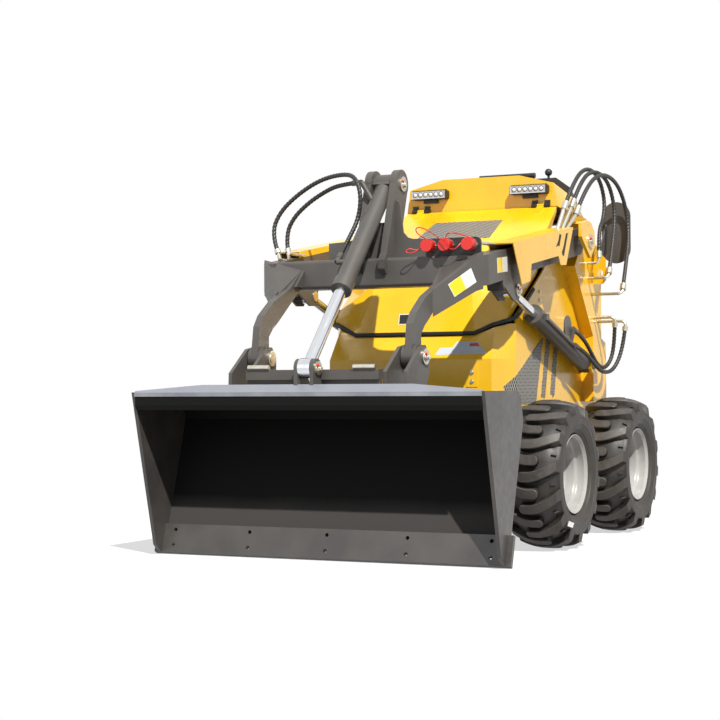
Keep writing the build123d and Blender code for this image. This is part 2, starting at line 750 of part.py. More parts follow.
# ---------------------------------------------------------------- tower that carries the tilt cylinder
TOWER_TOP = 50.0
tower_outline = [
    (TOWER_PIN_X - TOWER_TOP + 2, TOWER_PIN_Z - 8),
    (TOWER_PIN_X + TOWER_TOP, TOWER_PIN_Z),
    (CROSS_FRONT_X, 1010),
    (CROSS_FRONT_X + 22, 985),
    (CROSS_FRONT_X + 22, 955),
    (CROSS_FRONT_X + 12, 940),
    (CROSS_FRONT_X, 940),
    (CROSS_FRONT_X, CROSS_TOP - 12),
    (CROSS_FRONT_X - 12, CROSS_TOP),
    (CROSS_REAR_X + 8, CROSS_TOP),
]
tower_plate = side_plate(tower_outline, TOWER_IN, TOWER_OUT)
tower_plate = tower_plate + across(TOWER_PIN_X, TOWER_PIN_Z, TOWER_TOP, TOWER_IN, TOWER_OUT)
tower_plate = tower_plate - across(TOWER_PIN_X, TOWER_PIN_Z, PIN_RADIUS + RUN_FIT, 0, TOWER_OUT + 1)
WEB_X = 222.0
web_outline = [
    (TOWER_OUT, 1195),
    (TOWER_OUT + 12, 1185),
    (TOWER_OUT + 24, 1085),
    (TOWER_OUT + 40, 1066),
    (TOWER_OUT + 60, 1060),
    (200, 1056),
    (200, CROSS_TOP),
    (TOWER_OUT, CROSS_TOP),
]
web = front_plate(web_outline, WEB_X, WEB_X + 8)
middle_web = front_plate(
    [(-TOWER_IN, CROSS_TOP), (-TOWER_IN, 1120), (TOWER_IN, 1120), (TOWER_IN, CROSS_TOP)],
    WEB_X,
    WEB_X + 8,
)
tower = tower_plate + other_side(tower_plate) + web + other_side(web) + middle_web
save("tower", tower - cross)

# ---------------------------------------------------------------- folded covers over the arms
COVER_TOP_FRONT = (147.0, 1039.0)
COVER_TOP_REAR = (-485.0, 1140.0)
wall = side_plate(
    [
        COVER_TOP_FRONT,
        (64, 901),
        (-20, 917),
        (-33, 978),
        (-317, 1023),
        (-340, 991),
        (-402, 995),
        COVER_TOP_REAR,
    ],
    COVER_OUT - COVER_SHEET,
    COVER_OUT,
)
for slot in (((-295, 1054), (-350, 1101)), ((-355, 1036), (-429, 1114))):
    (x0, z0), (x1, z1) = slot
    wall = wall - side_plate(
        [(x0 - 12, z0), (x0 + 4, z0), (x1 + 12, z1), (x1 - 4, z1)],
        COVER_OUT - 10,
        COVER_OUT + 1,
    )
lid = side_plate(
    [
        COVER_TOP_FRONT,
        (COVER_TOP_FRONT[0] - 2, COVER_TOP_FRONT[1] - 4),
        (COVER_TOP_REAR[0], COVER_TOP_REAR[1] - 4),
        COVER_TOP_REAR,
    ],
    ARM_IN,
    COVER_OUT,
)
lip = side_plate(
    [
        (COVER_TOP_FRONT[0] - 6, COVER_TOP_FRONT[1] - 3),
        on_arm(COVER_TOP_FRONT[0] - 6, HALF),
        on_arm(COVER_TOP_REAR[0], HALF),
        (COVER_TOP_REAR[0], COVER_TOP_REAR[1] - 3),
    ],
    ARM_IN,
    ARM_IN + COVER_SHEET,
)
cover = wall + lid + lip
save("cover_left", cover)
save("cover_right", other_side(cover))

# ---------------------------------------------------------------- quick couplers on the crossmember
bracket = block(278, 290, 195, 392, CROSS_TOP, 1052)
bracket = fillet(bracket.edges().filter_by(Axis.X).group_by(Axis.Z)[-1], 16)
shelf = block(252, 278, 205, 350, CROSS_TOP, CROSS_TOP + 8)
save("coupler_bracket", (bracket + shelf) - arm)
caps = []
for cap_y in (220.0, 283.0, 366.0):
    stem = Pos(290, cap_y, 1026) * Rot(0, 90, 0) * Cylinder(15, 22, align=ON_BASE)
    cap = Pos(312, cap_y, 1026) * Rot(0, 90, 0) * Cylinder(21, 34, align=ON_BASE)
    caps.append(stem + cap)
save("coupler_caps", caps)

# ---------------------------------------------------------------- lift cylinders
lift_dx = ROD_PIN_X - BASE_PIN_X
lift_dz = ROD_PIN_Z - BASE_PIN_Z
LIFT_REST = (lift_dx**2 + lift_dz**2) ** 0.5


def cylinder_place(x, y, z, dx, dz):
    """Frame at a cylinder's base pin, its z axis along the rod."""
    return Plane(origin=(x, y, z), x_dir=(0, 1, 0), z_dir=(dx, 0, dz))


def barrel(length, radius, rod_radius, eye_width, eye_radius, neck):
    """Cylinder barrel with base eye, bore and gland, along z from its pin."""
    tube = Pos(0, 0, neck) * Cylinder(radius, length - neck, align=ON_BASE)
    throat = Pos(0, 0, neck / 2) * Box(eye_width, 2 * eye_radius - 10, neck)
    gland = Pos(0, 0, length - 44) * Cylinder(radius + 4, 44, align=ON_BASE)
    eye = Rot(0, 90, 0) * Cylinder(eye_radius, eye_width)
    bore = Pos(0, 0, neck + 6) * Cylinder(radius - 8, length - neck - 36, align=ON_BASE)
    seal = Pos(0, 0, length - 31) * Cylinder(rod_radius + RUN_FIT, 40, align=ON_BASE)
    return tube + throat + gland + eye - bore - seal - Rot(0, 90, 0) * Cylinder(
        PIN_RADIUS + RUN_FIT,
        eye_width + 2,
    )


def rod(length, barrel_length, inside, barrel_radius, rod_radius, eye_width, eye_radius):
    """Chromed rod with its piston and eye, in the barrel's frame."""
    start = barrel_length - inside
    bar_piece = Pos(0, 0, start) * Cylinder(rod_radius, length - start, align=ON_BASE)
    piston = Pos(0, 0, start) * Cylinder(barrel_radius - 8.3, 20, align=ON_BASE)
    eye = Pos(0, 0, length) * Rot(0, 90, 0) * Cylinder(eye_radius, eye_width)
    return bar_piece + piston, eye


lift_frame = cylinder_place(BASE_PIN_X, CYLINDER_Y, BASE_PIN_Z, lift_dx, lift_dz)
lift_barrel = barrel(LIFT_BARREL, BARREL_RADIUS - 3, ROD_RADIUS, EYE_WIDTH, 30, 38)
lift_rod, lift_eye = rod(
    LIFT_REST,
    LIFT_BARREL,
    LIFT_ROD_INSIDE,
    BARREL_RADIUS - 3,
    ROD_RADIUS,
    EYE_WIDTH,
    EYE_RADIUS,
)
guard = across(-552, 776, 40, CYLINDER_Y + 12, CYLINDER_Y + 16)
guard_foot = side_plate([(-566, 733), (-534, 743), (-536, 790), (-562, 790)], CYLINDER_Y + 4, CYLINDER_Y + 12)
LINE_Y = CYLINDER_Y + BARREL_RADIUS - 3 + 6.2
HOSE_RADIUS = 8.0
TUBE_RADIUS = 6.0


def bend_radii(points, share=0.45):
    """Largest tangent arc that each corner's two runs leave room for."""
    places = [Vector(*p) for p in points]
    radii = []
    for before, here, after in zip(places, places[1:], places[2:]):
        turn = (here - before).get_angle(after - here)
        run = min((here - before).length, (after - here).length)
        radii.append(share * run / tan(radians(turn / 2)))
    return radii


def hose(name, points, radius=HOSE_RADIUS):
    """Hose or line swept along straight runs joined by tangent arcs."""
    radii = bend_radii(points)
    path = FilletPolyline(*points, radius=radii)
    section = Plane(origin=points[0], z_dir=path % 0) * Circle(radius)
    solid = sweep(section, path=path)
    ratio = solid.volume / (3.141592653589793 * radius**2 * path.length)
    print(name, "radii", [round(r) for r in radii], "length", round(path.length), "ratio", round(ratio, 4))
    return solid


def elbow(points, radius=TUBE_RADIUS, bend=16.0):
    """Bent steel tube."""
    path = FilletPolyline(*points, radius=bend)
    section = Plane(origin=points[0], z_dir=path % 0) * Circle(radius)
    return sweep(section, path=path)


def ferrule(end, inner, length, radius=11.0):
    """Crimped fitting on a hose's end, in line with its last run; returns it and its far end."""
    line = (Vector(*end) - Vector(*inner)).normalized()
    foot = Vector(*end) + line * length
    knee = Vector(*end) + line * (length + 20)
    return between(end, (foot.X, foot.Y, foot.Z), radius), (foot.X, foot.Y, foot.Z), (knee.X, knee.Y, knee.Z)


def tube_to(wall_y, end, inner, length, radius=11.0):
    """Bent tube out of a wall at wall_y, up to the fitting on a hose's end."""
    crimp, foot, knee = ferrule(end, inner, length, radius)
    return crimp + elbow([(knee[0], wall_y, knee[2]), knee, foot])


LIFT_ROUTES = (
    (
        (-572.0, LINE_Y + 8, 698.0),
        (-644.0, 446.0, 677.0),
        (-722.0, 452.0, 638.0),
        (-800.0, 462.0, 600.0),
        (-884.0, 480.0, 610.0),
        (-936.0, 500.0, 690.0),
        (-940.0, 509.0, 766.0),
    ),
    (
        (-611.0, CYLINDER_Y + 28, 756.0),
        (-672.0, 428.0, 732.0),
        (-732.0, 436.0, 684.0),
        (-784.0, 444.0, 634.0),
        (-850.0, 452.0, 616.0),
        (-906.0, 464.0, 652.0),
        (-914.0, 474.0, 722.0),
        (-896.0, 482.0, 782.0),
    ),
)
feed_line = between((-240, LINE_Y, 800), (-552, LINE_Y, 703.7), 6)
feed_block = block(-262, -232, CYLINDER_Y + 20, LINE_Y + 8, 790, 812)
port = between((-588, CYLINDER_Y + 12, 712), (-588, CYLINDER_Y + 24, 764), 9)
fittings = feed_line + feed_block + port
for route, crimp_length in zip(LIFT_ROUTES, (22, 30)):
    fittings = fittings + ferrule(route[0], route[1], crimp_length, 10)[0]
lift_core = lift_frame * Cylinder(BARREL_RADIUS - 5, LIFT_BARREL, align=ON_BASE)
barrel_left = (lift_frame * lift_barrel) + guard + guard_foot + (fittings - lift_core)
rod_left = lift_frame * (lift_rod + lift_eye)
save("lift_barrel_left", barrel_left)
save("lift_barrel_right", other_side(barrel_left))
save("lift_rod_left", rod_left)
save("lift_rod_right", other_side(rod_left))

# ---------------------------------------------------------------- bucket
TILT_SIN = sin(radians(BUCKET_TILT))
TILT_COS = cos(radians(BUCKET_TILT))
FLOOR_X = BUCKET_PIN_X + PIN_BACK * TILT_COS - PIN_UP * TILT_SIN
FLOOR_Z = FLOOR_LENGTH * TILT_SIN
BACK_LENGTH = ((BACK_TOP_U - HEEL_U) ** 2 + (BACK_TOP_W - HEEL_W) ** 2) ** 0.5
BACK_U = (BACK_TOP_U - HEEL_U) / BACK_LENGTH
BACK_W = (BACK_TOP_W - HEEL_W) / BACK_LENGTH


def in_bucket(u, w):
    """Bucket point as x and z at rest."""
    return (FLOOR_X + u * TILT_COS + w * TILT_SIN, FLOOR_Z - u * TILT_SIN + w * TILT_COS)


def on_back(p, q):
    """Point p up the back wall from the heel and q behind it, as x and z at rest."""
    return in_bucket(HEEL_U + p * BACK_U - q * BACK_W, HEEL_W + p * BACK_W + q * BACK_U)


SHEET = BUCKET_SHEET
LIP_FLANGE = 34.0


def round_corner(piece, corner, y, radius):
    """Round the edge that runs across the machine through a corner."""
    edges = piece.edges().filter_by(Axis.Y).sort_by_distance((corner[0], y, corner[1]))
    return fillet(edges[0], radius)


heel_out = in_bucket(HEEL_U - 4, HEEL_W - 5)
shell = side_plate(
    [
        in_bucket(FLOOR_LENGTH - 30, -SHEET),
        in_bucket(-2, -SHEET),
        heel_out,
        on_back(BACK_LENGTH, SHEET),
        on_back(BACK_LENGTH, -LIP_FLANGE),
    ],
    -SHELL_HALF,
    SHELL_HALF,
)
shell = round_corner(shell, heel_out, 0, HEEL_RADIUS)
hollow = side_plate(
    [
        in_bucket(FLOOR_LENGTH + 40, 0),
        in_bucket(0, 0),
        in_bucket(HEEL_U, HEEL_W),
        on_back(BACK_LENGTH - SHEET, 0),
        on_back(BACK_LENGTH - SHEET, -LIP_FLANGE - 300),
    ],
    -SHELL_HALF - 1,
    SHELL_HALF + 1,
)
hollow = round_corner(hollow, in_bucket(HEEL_U, HEEL_W), 0, HEEL_RADIUS - SHEET)
shell = shell - hollow
save("bucket_shell", shell)

side_outline = [
    on_back(BACK_LENGTH + 2, SHEET + 2),
    in_bucket(HEEL_U - 5, HEEL_W - 6),
    in_bucket(-2, -SHEET - 2),
    in_bucket(FLOOR_LENGTH - EDGE_DEPTH, -SHEET - 2),
    in_bucket(FLOOR_LENGTH - EDGE_DEPTH, EDGE_THICKNESS),
    in_bucket(FLOOR_LENGTH, EDGE_THICKNESS),
    in_bucket(FLOOR_LENGTH - 18, 56),
]
cheek_plate = side_plate(side_outline, SHELL_HALF, BUCKET_HALF)
cheek_plate = round_corner(cheek_plate, in_bucket(HEEL_U - 5, HEEL_W - 6), BUCKET_HALF, HEEL_RADIUS + 2)
save("bucket_sides", both(cheek_plate))

edge = side_plate(
    [
        in_bucket(FLOOR_LENGTH - EDGE_DEPTH, 0),
        in_bucket(FLOOR_LENGTH, 0),
        in_bucket(FLOOR_LENGTH - 4, EDGE_THICKNESS - 0.0),
        in_bucket(FLOOR_LENGTH - EDGE_DEPTH, EDGE_THICKNESS),
    ],
    -EDGE_HALF,
    EDGE_HALF,
)
for column in range(-2, 3):
    for back in (29.0, EDGE_DEPTH - 20):
        low = in_bucket(FLOOR_LENGTH - back, -4)
        high = in_bucket(FLOOR_LENGTH - back, EDGE_THICKNESS + 4)
        edge = edge - between(
            (low[0], column * BOLT_PITCH, low[1]),
            (high[0], column * BOLT_PITCH, high[1]),
            6.5,
        )
save("cutting_edge", edge)

# Attach plate on the bucket's back, with ears for the arms and lugs for the tilt rod
PLATE_Q = SHEET + 12.0
pin_p, pin_q = 39.3, 112.7
PIN_U = -PIN_BACK - HEEL_U
PIN_W = PIN_UP - HEEL_W
pin_p = PIN_U * BACK_U + PIN_W * BACK_W
pin_q = -PIN_U * BACK_W + PIN_W * BACK_U
EYE_P = 232.7
EYE_Q = 81.2
rod_eye_x, rod_eye_z = on_back(EYE_P, EYE_Q)
EARS_OUT = 2 * HOOK_MID - BUCKET_EAR_IN
attach = side_plate(
    [on_back(30, SHEET), on_back(264, SHEET), on_back(264, PLATE_Q), on_back(30, PLATE_Q)],
    -EARS_OUT - 6,
    EARS_OUT + 6,
)
ear_plate_outline = [
    on_back(30, PLATE_Q),
    on_back(180, PLATE_Q),
    on_back(177, 67),
    on_back(pin_p + 28, pin_q + 32),
    on_back(pin_p - 8, pin_q + 37),
    on_back(pin_p - 37, pin_q + 4),
    on_back(pin_p - 34, 60),
]
for ear_y in (BUCKET_EAR_IN, EARS_OUT - BUCKET_EAR_THICKNESS):
    bucket_ear = side_plate(ear_plate_outline, ear_y, ear_y + BUCKET_EAR_THICKNESS)
    bucket_ear = bucket_ear - across(BUCKET_PIN_X, BUCKET_PIN_Z, PIN_RADIUS + RUN_FIT, ear_y - 1, ear_y + 20)
    attach = attach + bucket_ear + other_side(bucket_ear)
rod_lug = side_plate(
    [
        on_back(170, PLATE_Q),
        on_back(EYE_P + TILT_EYE_RADIUS, PLATE_Q),
        on_back(EYE_P + TILT_EYE_RADIUS, EYE_Q),
        on_back(EYE_P - TILT_EYE_RADIUS, EYE_Q),
    ],
    LUG_PLATE_IN,
    LUG_PLATE_OUT,
)
rod_lug = rod_lug + across(rod_eye_x, rod_eye_z, TILT_EYE_RADIUS, LUG_PLATE_IN, LUG_PLATE_OUT)
cross_tube = side_plate(
    [on_back(176, 44), on_back(210, 44), on_back(210, 76), on_back(176, 76)],
    LUG_PLATE_OUT,
    BUCKET_EAR_IN,
)
tube_foot = side_plate(
    [on_back(186, PLATE_Q), on_back(200, PLATE_Q), on_back(200, 44), on_back(186, 44)],
    LUG_PLATE_OUT,
    BUCKET_EAR_IN,
)
for welded in (rod_lug, cross_tube, tube_foot):
    attach = attach + welded + other_side(welded)
save("attach_plate", attach)

bucket_pins = []
for pin_side in (1, -1):
    inner = BUCKET_EAR_IN - 8
    outer = EARS_OUT + 8
    pin = across(BUCKET_PIN_X, BUCKET_PIN_Z, PIN_RADIUS, pin_side * inner, pin_side * outer)
    # Both keepers sit on the machine's left face of their ears.
    keeper_y = EARS_OUT if pin_side > 0 else -BUCKET_EAR_IN
    keeper = across(BUCKET_PIN_X, BUCKET_PIN_Z, 26, keeper_y, keeper_y + 6)
    bucket_pins.append(pin + keeper)
eye_keeper = across(rod_eye_x, rod_eye_z, 22, LUG_PLATE_OUT, LUG_PLATE_OUT + 6)
save("bucket_pins", bucket_pins, eye_keeper)

levers = []
for lever_y in (188.0, -188.0):
    x, z = on_back(210, 84)
    levers.append(across(x, z, 8, lever_y - 38, lever_y + 38))
save("lock_levers", levers)

# ---------------------------------------------------------------- tilt cylinder
tilt_dx = rod_eye_x - TOWER_PIN_X
tilt_dz = rod_eye_z - TOWER_PIN_Z
TILT_REST = (tilt_dx**2 + tilt_dz**2) ** 0.5
tilt_frame = cylinder_place(TOWER_PIN_X, 0, TOWER_PIN_Z, tilt_dx, tilt_dz)
tilt_barrel = barrel(TILT_BARREL, BARREL_RADIUS - 3, TILT_ROD_RADIUS, 2 * TOWER_IN - 1, BARREL_RADIUS + 2, 30)
tilt_rod, tilt_eye = rod(
    TILT_REST,
    TILT_BARREL,
    TILT_ROD_INSIDE,
    BARREL_RADIUS - 3,
    TILT_ROD_RADIUS,
    EYE_WIDTH,
    TILT_EYE_RADIUS + 2,
)
TILT_ROUTES = (
    (
        (232.0, -404.0, 1042.0),
        (220.0, -432.0, 1104.0),
        (205.0, -406.0, 1180.0),
        (198.0, -330.0, 1244.0),
        (212.0, -230.0, 1288.0),
        (256.0, -114.0, 1294.0),
        (294.0, -60.0, 1268.0),
        (308.0, -36.0, 1206.0),
        (294.0, -54.0, 1130.0),
        (350.0, -64.0, 1058.0),
        (418.0, -60.0, 1002.0),
    ),
    (
        (190.0, -384.0, 1048.0),
        (181.0, -394.0, 1100.0),
        (176.0, -368.0, 1158.0),
        (177.0, -308.0, 1208.0),
        (186.0, -236.0, 1244.0),
        (214.0, -170.0, 1260.0),
        (245.0, -98.0, 1260.0),
    ),
)
low_crimp, low_foot, low_knee = ferrule(TILT_ROUTES[0][-1], TILT_ROUTES[0][-2], 26, 10)
top_crimp, top_foot, top_knee = ferrule(TILT_ROUTES[1][-1], TILT_ROUTES[1][-2], 26, 10)
low_port = between((448, -12, 972), low_knee, 9) + between(low_knee, low_foot, 9) + low_crimp
top_port = between((256, -6, 1175), top_knee, 9) + between(top_knee, top_foot, 9) + top_crimp
core = tilt_frame * Cylinder(BARREL_RADIUS - 5, TILT_BARREL, align=ON_BASE)
save("tilt_barrel", tilt_frame * tilt_barrel + ((top_port + low_port) - core))
save("tilt_rod", tilt_frame * (tilt_rod + tilt_eye))

# ---------------------------------------------------------------- side guard and hydraulic lines
GUARD_X = -1062.0
oval = Pos(GUARD_X - 5, 439, 1163) * Rot(0, 90, 0) * extrude(SlotCenterToCenter(246 - 118, 118), amount=5)
guard_outline = [(-955, 1030), (GUARD_X, 1100), (GUARD_X, 1190), (GUARD_X + 16, 1196), (-955, 1085)]
guard_arm = side_plate(guard_outline, REAR_BOX_OUT, REAR_BOX_OUT + 6)
save("side_guard", oval + guard_arm)

# Lines over the arm pivot, from tubes on the left cover to elbows out of the side box
OVER_FEET = ((-450.0, 403.0, 1126.0), (-466.0, 415.0, 1128.0), (-482.0, 427.0, 1130.0))
OVER_ROUTES = (
    (
        (-545.0, 407.0, 1240.0),
        (-632.0, 412.0, 1338.0),
        (-760.0, 418.0, 1396.0),
        (-888.0, 424.0, 1372.0),
        (-946.0, 430.0, 1288.0),
        (-912.0, 435.0, 1206.0),
        (-835.0, 440.0, 1155.0),
        (-818.0, 445.0, 1072.0),
    ),
    (
        (-590.0, 422.0, 1252.0),
        (-668.0, 430.0, 1344.0),
        (-796.0, 438.0, 1386.0),
        (-928.0, 447.0, 1362.0),
        (-990.0, 456.0, 1268.0),
        (-954.0, 466.0, 1150.0),
        (-846.0, 478.0, 1006.0),
    ),
    (
        (-598.0, 438.0, 1226.0),
        (-672.0, 449.0, 1318.0),
        (-808.0, 462.0, 1376.0),
        (-958.0, 475.0, 1356.0),
        (-1042.0, 488.0, 1262.0),
        (-1034.0, 500.0, 1142.0),
        (-962.0, 511.0, 1040.0),
        (-890.0, 520.0, 945.0),
    ),
)
arm_fittings = []
tubes = []
for number, (foot, route) in enumerate(zip(OVER_FEET, OVER_ROUTES), 1):
    crimp, top, knee = ferrule(route[0], route[1], 40, 12)
    arm_fittings.append(crimp + (between(foot, top, TUBE_RADIUS + 1.5) - cover - arm))
    tubes.append(tube_to(REAR_BOX_OUT, route[-1], route[-2], 26, 12))
    save(f"arm_hose_{number}", hose(f"arm_hose_{number}", route))

for level, route in zip(("lower", "upper"), LIFT_ROUTES):
    lift_hose = hose("lift_hose_" + level, route)
    save(f"lift_hose_{level}_left", lift_hose)
    save(f"lift_hose_{level}_right", other_side(lift_hose))
    tubes.extend(both(tube_to(REAR_BOX_OUT, route[-1], route[-2], 18)))
save("steel_tubes", tubes)

# Lines from the right arm to the two ports of the tilt cylinder
for level, route in zip(("low", "top"), TILT_ROUTES):
    save(f"tilt_hose_{level}", hose("tilt_hose_" + level, route))
    start = route[0]
    crimp, foot, knee = ferrule(start, route[1], 14)
    run = elbow([(120, knee[1], knee[2] - 6), (knee[0] - 6, knee[1], knee[2] - 6), foot], bend=8)
    arm_fittings.append(crimp + (run - arm_right))
aux_line = elbow([(266, -340, 1026), (214, -352, 1026), (120, -356, 1026)], bend=30)
arm_fittings.append(aux_line)
save("arm_fittings", arm_fittings)
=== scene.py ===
import math

import bmesh
import bpy
from mathutils import Matrix, Vector


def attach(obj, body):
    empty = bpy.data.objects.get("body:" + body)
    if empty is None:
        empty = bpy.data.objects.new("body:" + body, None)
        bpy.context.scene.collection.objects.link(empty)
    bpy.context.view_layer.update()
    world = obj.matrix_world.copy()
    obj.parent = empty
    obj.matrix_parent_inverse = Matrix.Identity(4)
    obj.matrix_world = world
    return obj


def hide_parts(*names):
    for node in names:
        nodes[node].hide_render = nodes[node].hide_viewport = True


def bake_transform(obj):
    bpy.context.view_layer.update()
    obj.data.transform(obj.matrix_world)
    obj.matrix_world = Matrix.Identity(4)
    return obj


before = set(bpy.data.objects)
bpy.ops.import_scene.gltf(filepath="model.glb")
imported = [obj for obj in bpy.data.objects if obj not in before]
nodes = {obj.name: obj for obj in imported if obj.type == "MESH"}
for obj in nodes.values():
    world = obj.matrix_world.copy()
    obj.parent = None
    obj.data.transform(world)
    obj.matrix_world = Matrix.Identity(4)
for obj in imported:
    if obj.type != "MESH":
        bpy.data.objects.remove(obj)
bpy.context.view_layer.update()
bpy.ops.object.select_all(action="DESELECT")
bpy.context.scene.view_settings.view_transform = "Standard"

# ------------------------------------------------------------------ studio
# A plain white studio: one seamless pale floor, a hard sun high over the machine's front
# left, a weak soft lamp in front, and an even sky that shows white to the eye.


def linear(hex_colour):
    """Turn an sRGB hex colour to the linear colour that a shader takes."""
    parts = [int(hex_colour[i : i + 2], 16) / 255 for i in (1, 3, 5)]
    return tuple(c / 12.92 if c <= 0.04045 else ((c + 0.055) / 1.055) ** 2.4 for c in parts) + (1.0,)


def add(tree, kind, sockets=None, **settings):
    """Add one shader node, give it its settings, and set or link its sockets."""
    made = tree.nodes.new("ShaderNode" + kind)
    for name, value in settings.items():
        setattr(made, name, value)
    for name, value in (sockets or {}).items():
        if isinstance(value, bpy.types.NodeSocket):
            tree.links.new(value, made.inputs[name])
        else:
            made.inputs[name].default_value = value
    return made


def start_material(name):
    """An empty node material and its tree."""
    material = bpy.data.materials.new(name)
    material.use_nodes = True
    material.node_tree.nodes.clear()
    return material, material.node_tree


def end_material(tree, shader):
    """Join a shader to the material's output."""
    add(tree, "OutputMaterial", {"Surface": shader})


def seen_share(tree):
    """1 for a ray that ends in the eye or in a mirror or glass, 0 for one that lights."""
    rays = add(tree, "LightPath")
    share = rays.outputs["Is Camera Ray"]
    for ray in ("Is Glossy Ray", "Is Transmission Ray"):
        share = add(tree, "Math", {0: share, 1: rays.outputs[ray]}, operation="MAXIMUM").outputs[0]
    return share


bpy.ops.mesh.primitive_plane_add(size=60, location=(-10, 0, -0.001))
floor = bpy.context.active_object
floor.name = "studio_floor"
floor_paint, tree = start_material("floor_sweep_paint")
# Matt white sweep: near the machine it takes its shadow, and further off it turns to an
# even white. What it throws back up at the machine is held down, as a hall's floor does.
floor_light = add(tree, "Emission", {"Color": linear("#FFFFFF"), "Strength": 1.0}).outputs[0]
thrown_back = add(tree, "LightPath").outputs["Is Diffuse Ray"]
floor_tone = add(
    tree,
    "Mix",
    {0: thrown_back, 6: linear("#F4F4F3"), 7: linear("#8C8A86")},
    data_type="RGBA",
).outputs[2]
floor_matt = add(tree, "BsdfDiffuse", {"Color": floor_tone}).outputs[0]
floor_place = add(tree, "NewGeometry").outputs["Position"]
floor_far = add(tree, "VectorMath", {0: floor_place}, operation="LENGTH").outputs["Value"]
floor_even = add(tree, "MapRange", {0: floor_far, 1: 1.2, 2: 3.2, 3: 0.62, 4: 1.0}).outputs[0]
floor_share = add(tree, "Math", {0: seen_share(tree), 1: floor_even}, operation="MULTIPLY").outputs[0]
end_material(tree, add(tree, "MixShader", {0: floor_share, 1: floor_matt, 2: floor_light}).outputs[0])
floor.data.materials.append(floor_paint)

sky = bpy.data.worlds.new("studio_sky")
bpy.context.scene.world = sky
sky.use_nodes = True
sky.node_tree.nodes.clear()
tree = sky.node_tree
sky_soft = add(tree, "Background", {"Color": linear("#EEF3FA"), "Strength": 0.34}).outputs[0]
sky_seen = add(tree, "Background", {"Color": linear("#FFFFFF"), "Strength": 1.0}).outputs[0]
sky_light = add(tree, "MixShader", {0: seen_share(tree), 1: sky_soft, 2: sky_seen}).outputs[0]
add(tree, "OutputWorld", {"Surface": sky_light})


def lamp(name, kind, place, aim, power, colour):
    """A lamp at a place that shines along a direction."""
    data = bpy.data.lights.new(name, kind)
    data.energy = power
    data.color = linear(colour)[:3]
    made = bpy.data.objects.new(name, data)
    bpy.context.scene.collection.objects.link(made)
    made.location = place
    made.rotation_euler = Vector(aim).to_track_quat("-Z", "Y").to_euler()
    return data


key_sun = lamp("key_sun", "SUN", (4.9, 4.6, 7.5), (-0.485, -0.455, -0.748), 5.4, "#FFFBF4")
key_sun.angle = math.radians(0.8)
front_lamp = lamp("front_lamp", "AREA", (5.0, -0.8, 2.2), (-4.8, 0.8, -1.6), 20, "#F6F9FF")
front_lamp.shape = "SQUARE"
front_lamp.size = 3.0

camera_data = bpy.data.cameras.new("camera")
camera_data.sensor_width = 36.0
camera_data.lens = 86.4
camera = bpy.data.objects.new("camera", camera_data)
camera.location = (5.8705, 2.5098, 0.5748)
camera.rotation_euler = (math.radians(90.703), math.radians(0.376), math.radians(115.685))
bpy.context.scene.collection.objects.link(camera)
bpy.context.scene.camera = camera

# ------------------------------------------------------------------ chassis frame
# Welded steel chassis frame with the driver's platform bolted on behind and the hood's
# hinges on top, all powder coated in satin black.


def powder_coat(name, base, worn, coarse, gloss, coat=0.25):
    """Baked powder coat over steel. The tone drifts a little over a hand's width, 140 mm,
    dust lies thinly on it in specks of 11 to 25 mm, and the orange peel of the melt, 2.4 mm
    from crest to crest, shows in its reflections."""
    made, tree = start_material(name)
    place = add(tree, "TexCoord").outputs["Object"]
    drift = add(tree, "TexNoise", {"Vector": place, "Scale": 7.0, "Detail": 3.0}).outputs[0]
    drift = add(tree, "MapRange", {0: drift, 1: 0.35, 2: 0.75}).outputs[0]
    grain = add(tree, "TexNoise", {"Vector": place, "Scale": coarse, "Detail": 5.0}).outputs[0]
    speck = add(tree, "MapRange", {0: grain, 1: 0.56, 2: 0.74}).outputs[0]
    tone = add(tree, "Mix", {0: drift, 6: linear(base), 7: linear(worn)}, data_type="RGBA").outputs[2]
    speck = add(tree, "Math", {0: speck, 1: 0.12}, operation="MULTIPLY").outputs[0]
    tone = add(tree, "Mix", {0: speck, 6: tone, 7: linear(worn)}, data_type="RGBA").outputs[2]
    peel = add(tree, "TexNoise", {"Vector": place, "Scale": 420.0, "Detail": 2.0}).outputs[0]
    bump = add(tree, "Bump", {"Height": peel, "Strength": 0.06, "Distance": 0.0008}).outputs[0]
    rough = add(tree, "MapRange", {0: grain, 1: 0.3, 2: 0.8, 3: gloss - 0.05, 4: gloss + 0.12}).outputs[0]
    shader = add(
        tree,
        "BsdfPrincipled",
        {
            "Base Color": tone,
            "Roughness": rough,
            "IOR": 1.5,
            "Coat Weight": coat,
            "Coat Roughness": 0.14,
            "Normal": bump,
        },
    )
    end_material(tree, shader.outputs[0])
    return made


def dress(material, *names):
    """Give CAD nodes their material."""
    for name in names:
        mesh = nodes[name].data
        mesh.materials.clear()
        mesh.materials.append(material)


black_coat = powder_coat("black_powder_coat", "#1B1B1C", "#262626", 90.0, 0.5, 0.0)
dress(black_coat, "chassis_frame", "platform", "hood_hinges")

# ------------------------------------------------------------------ yellow sheet metal
# Folded and welded sheet steel, powder coated in loader yellow: console, hood, nose,
# side panels, rear boxes, pivot ears and the two covers over the arms.
yellow_coat = powder_coat("loader_yellow_powder_coat", "#F5C016", "#EDB512", 60.0, 0.30, 0.45)
dress(
    yellow_coat,
    "side_panels",
    "nose_panel",
    "rear_boxes",
    "pivot_ears",
    "console_panel",
    "hood_shell",
    "cover_left",
    "cover_right",
)

# ------------------------------------------------------------------ bright metal
# Zinc plated pins, tubes, fittings and levers, and hard chromed cylinder rods.


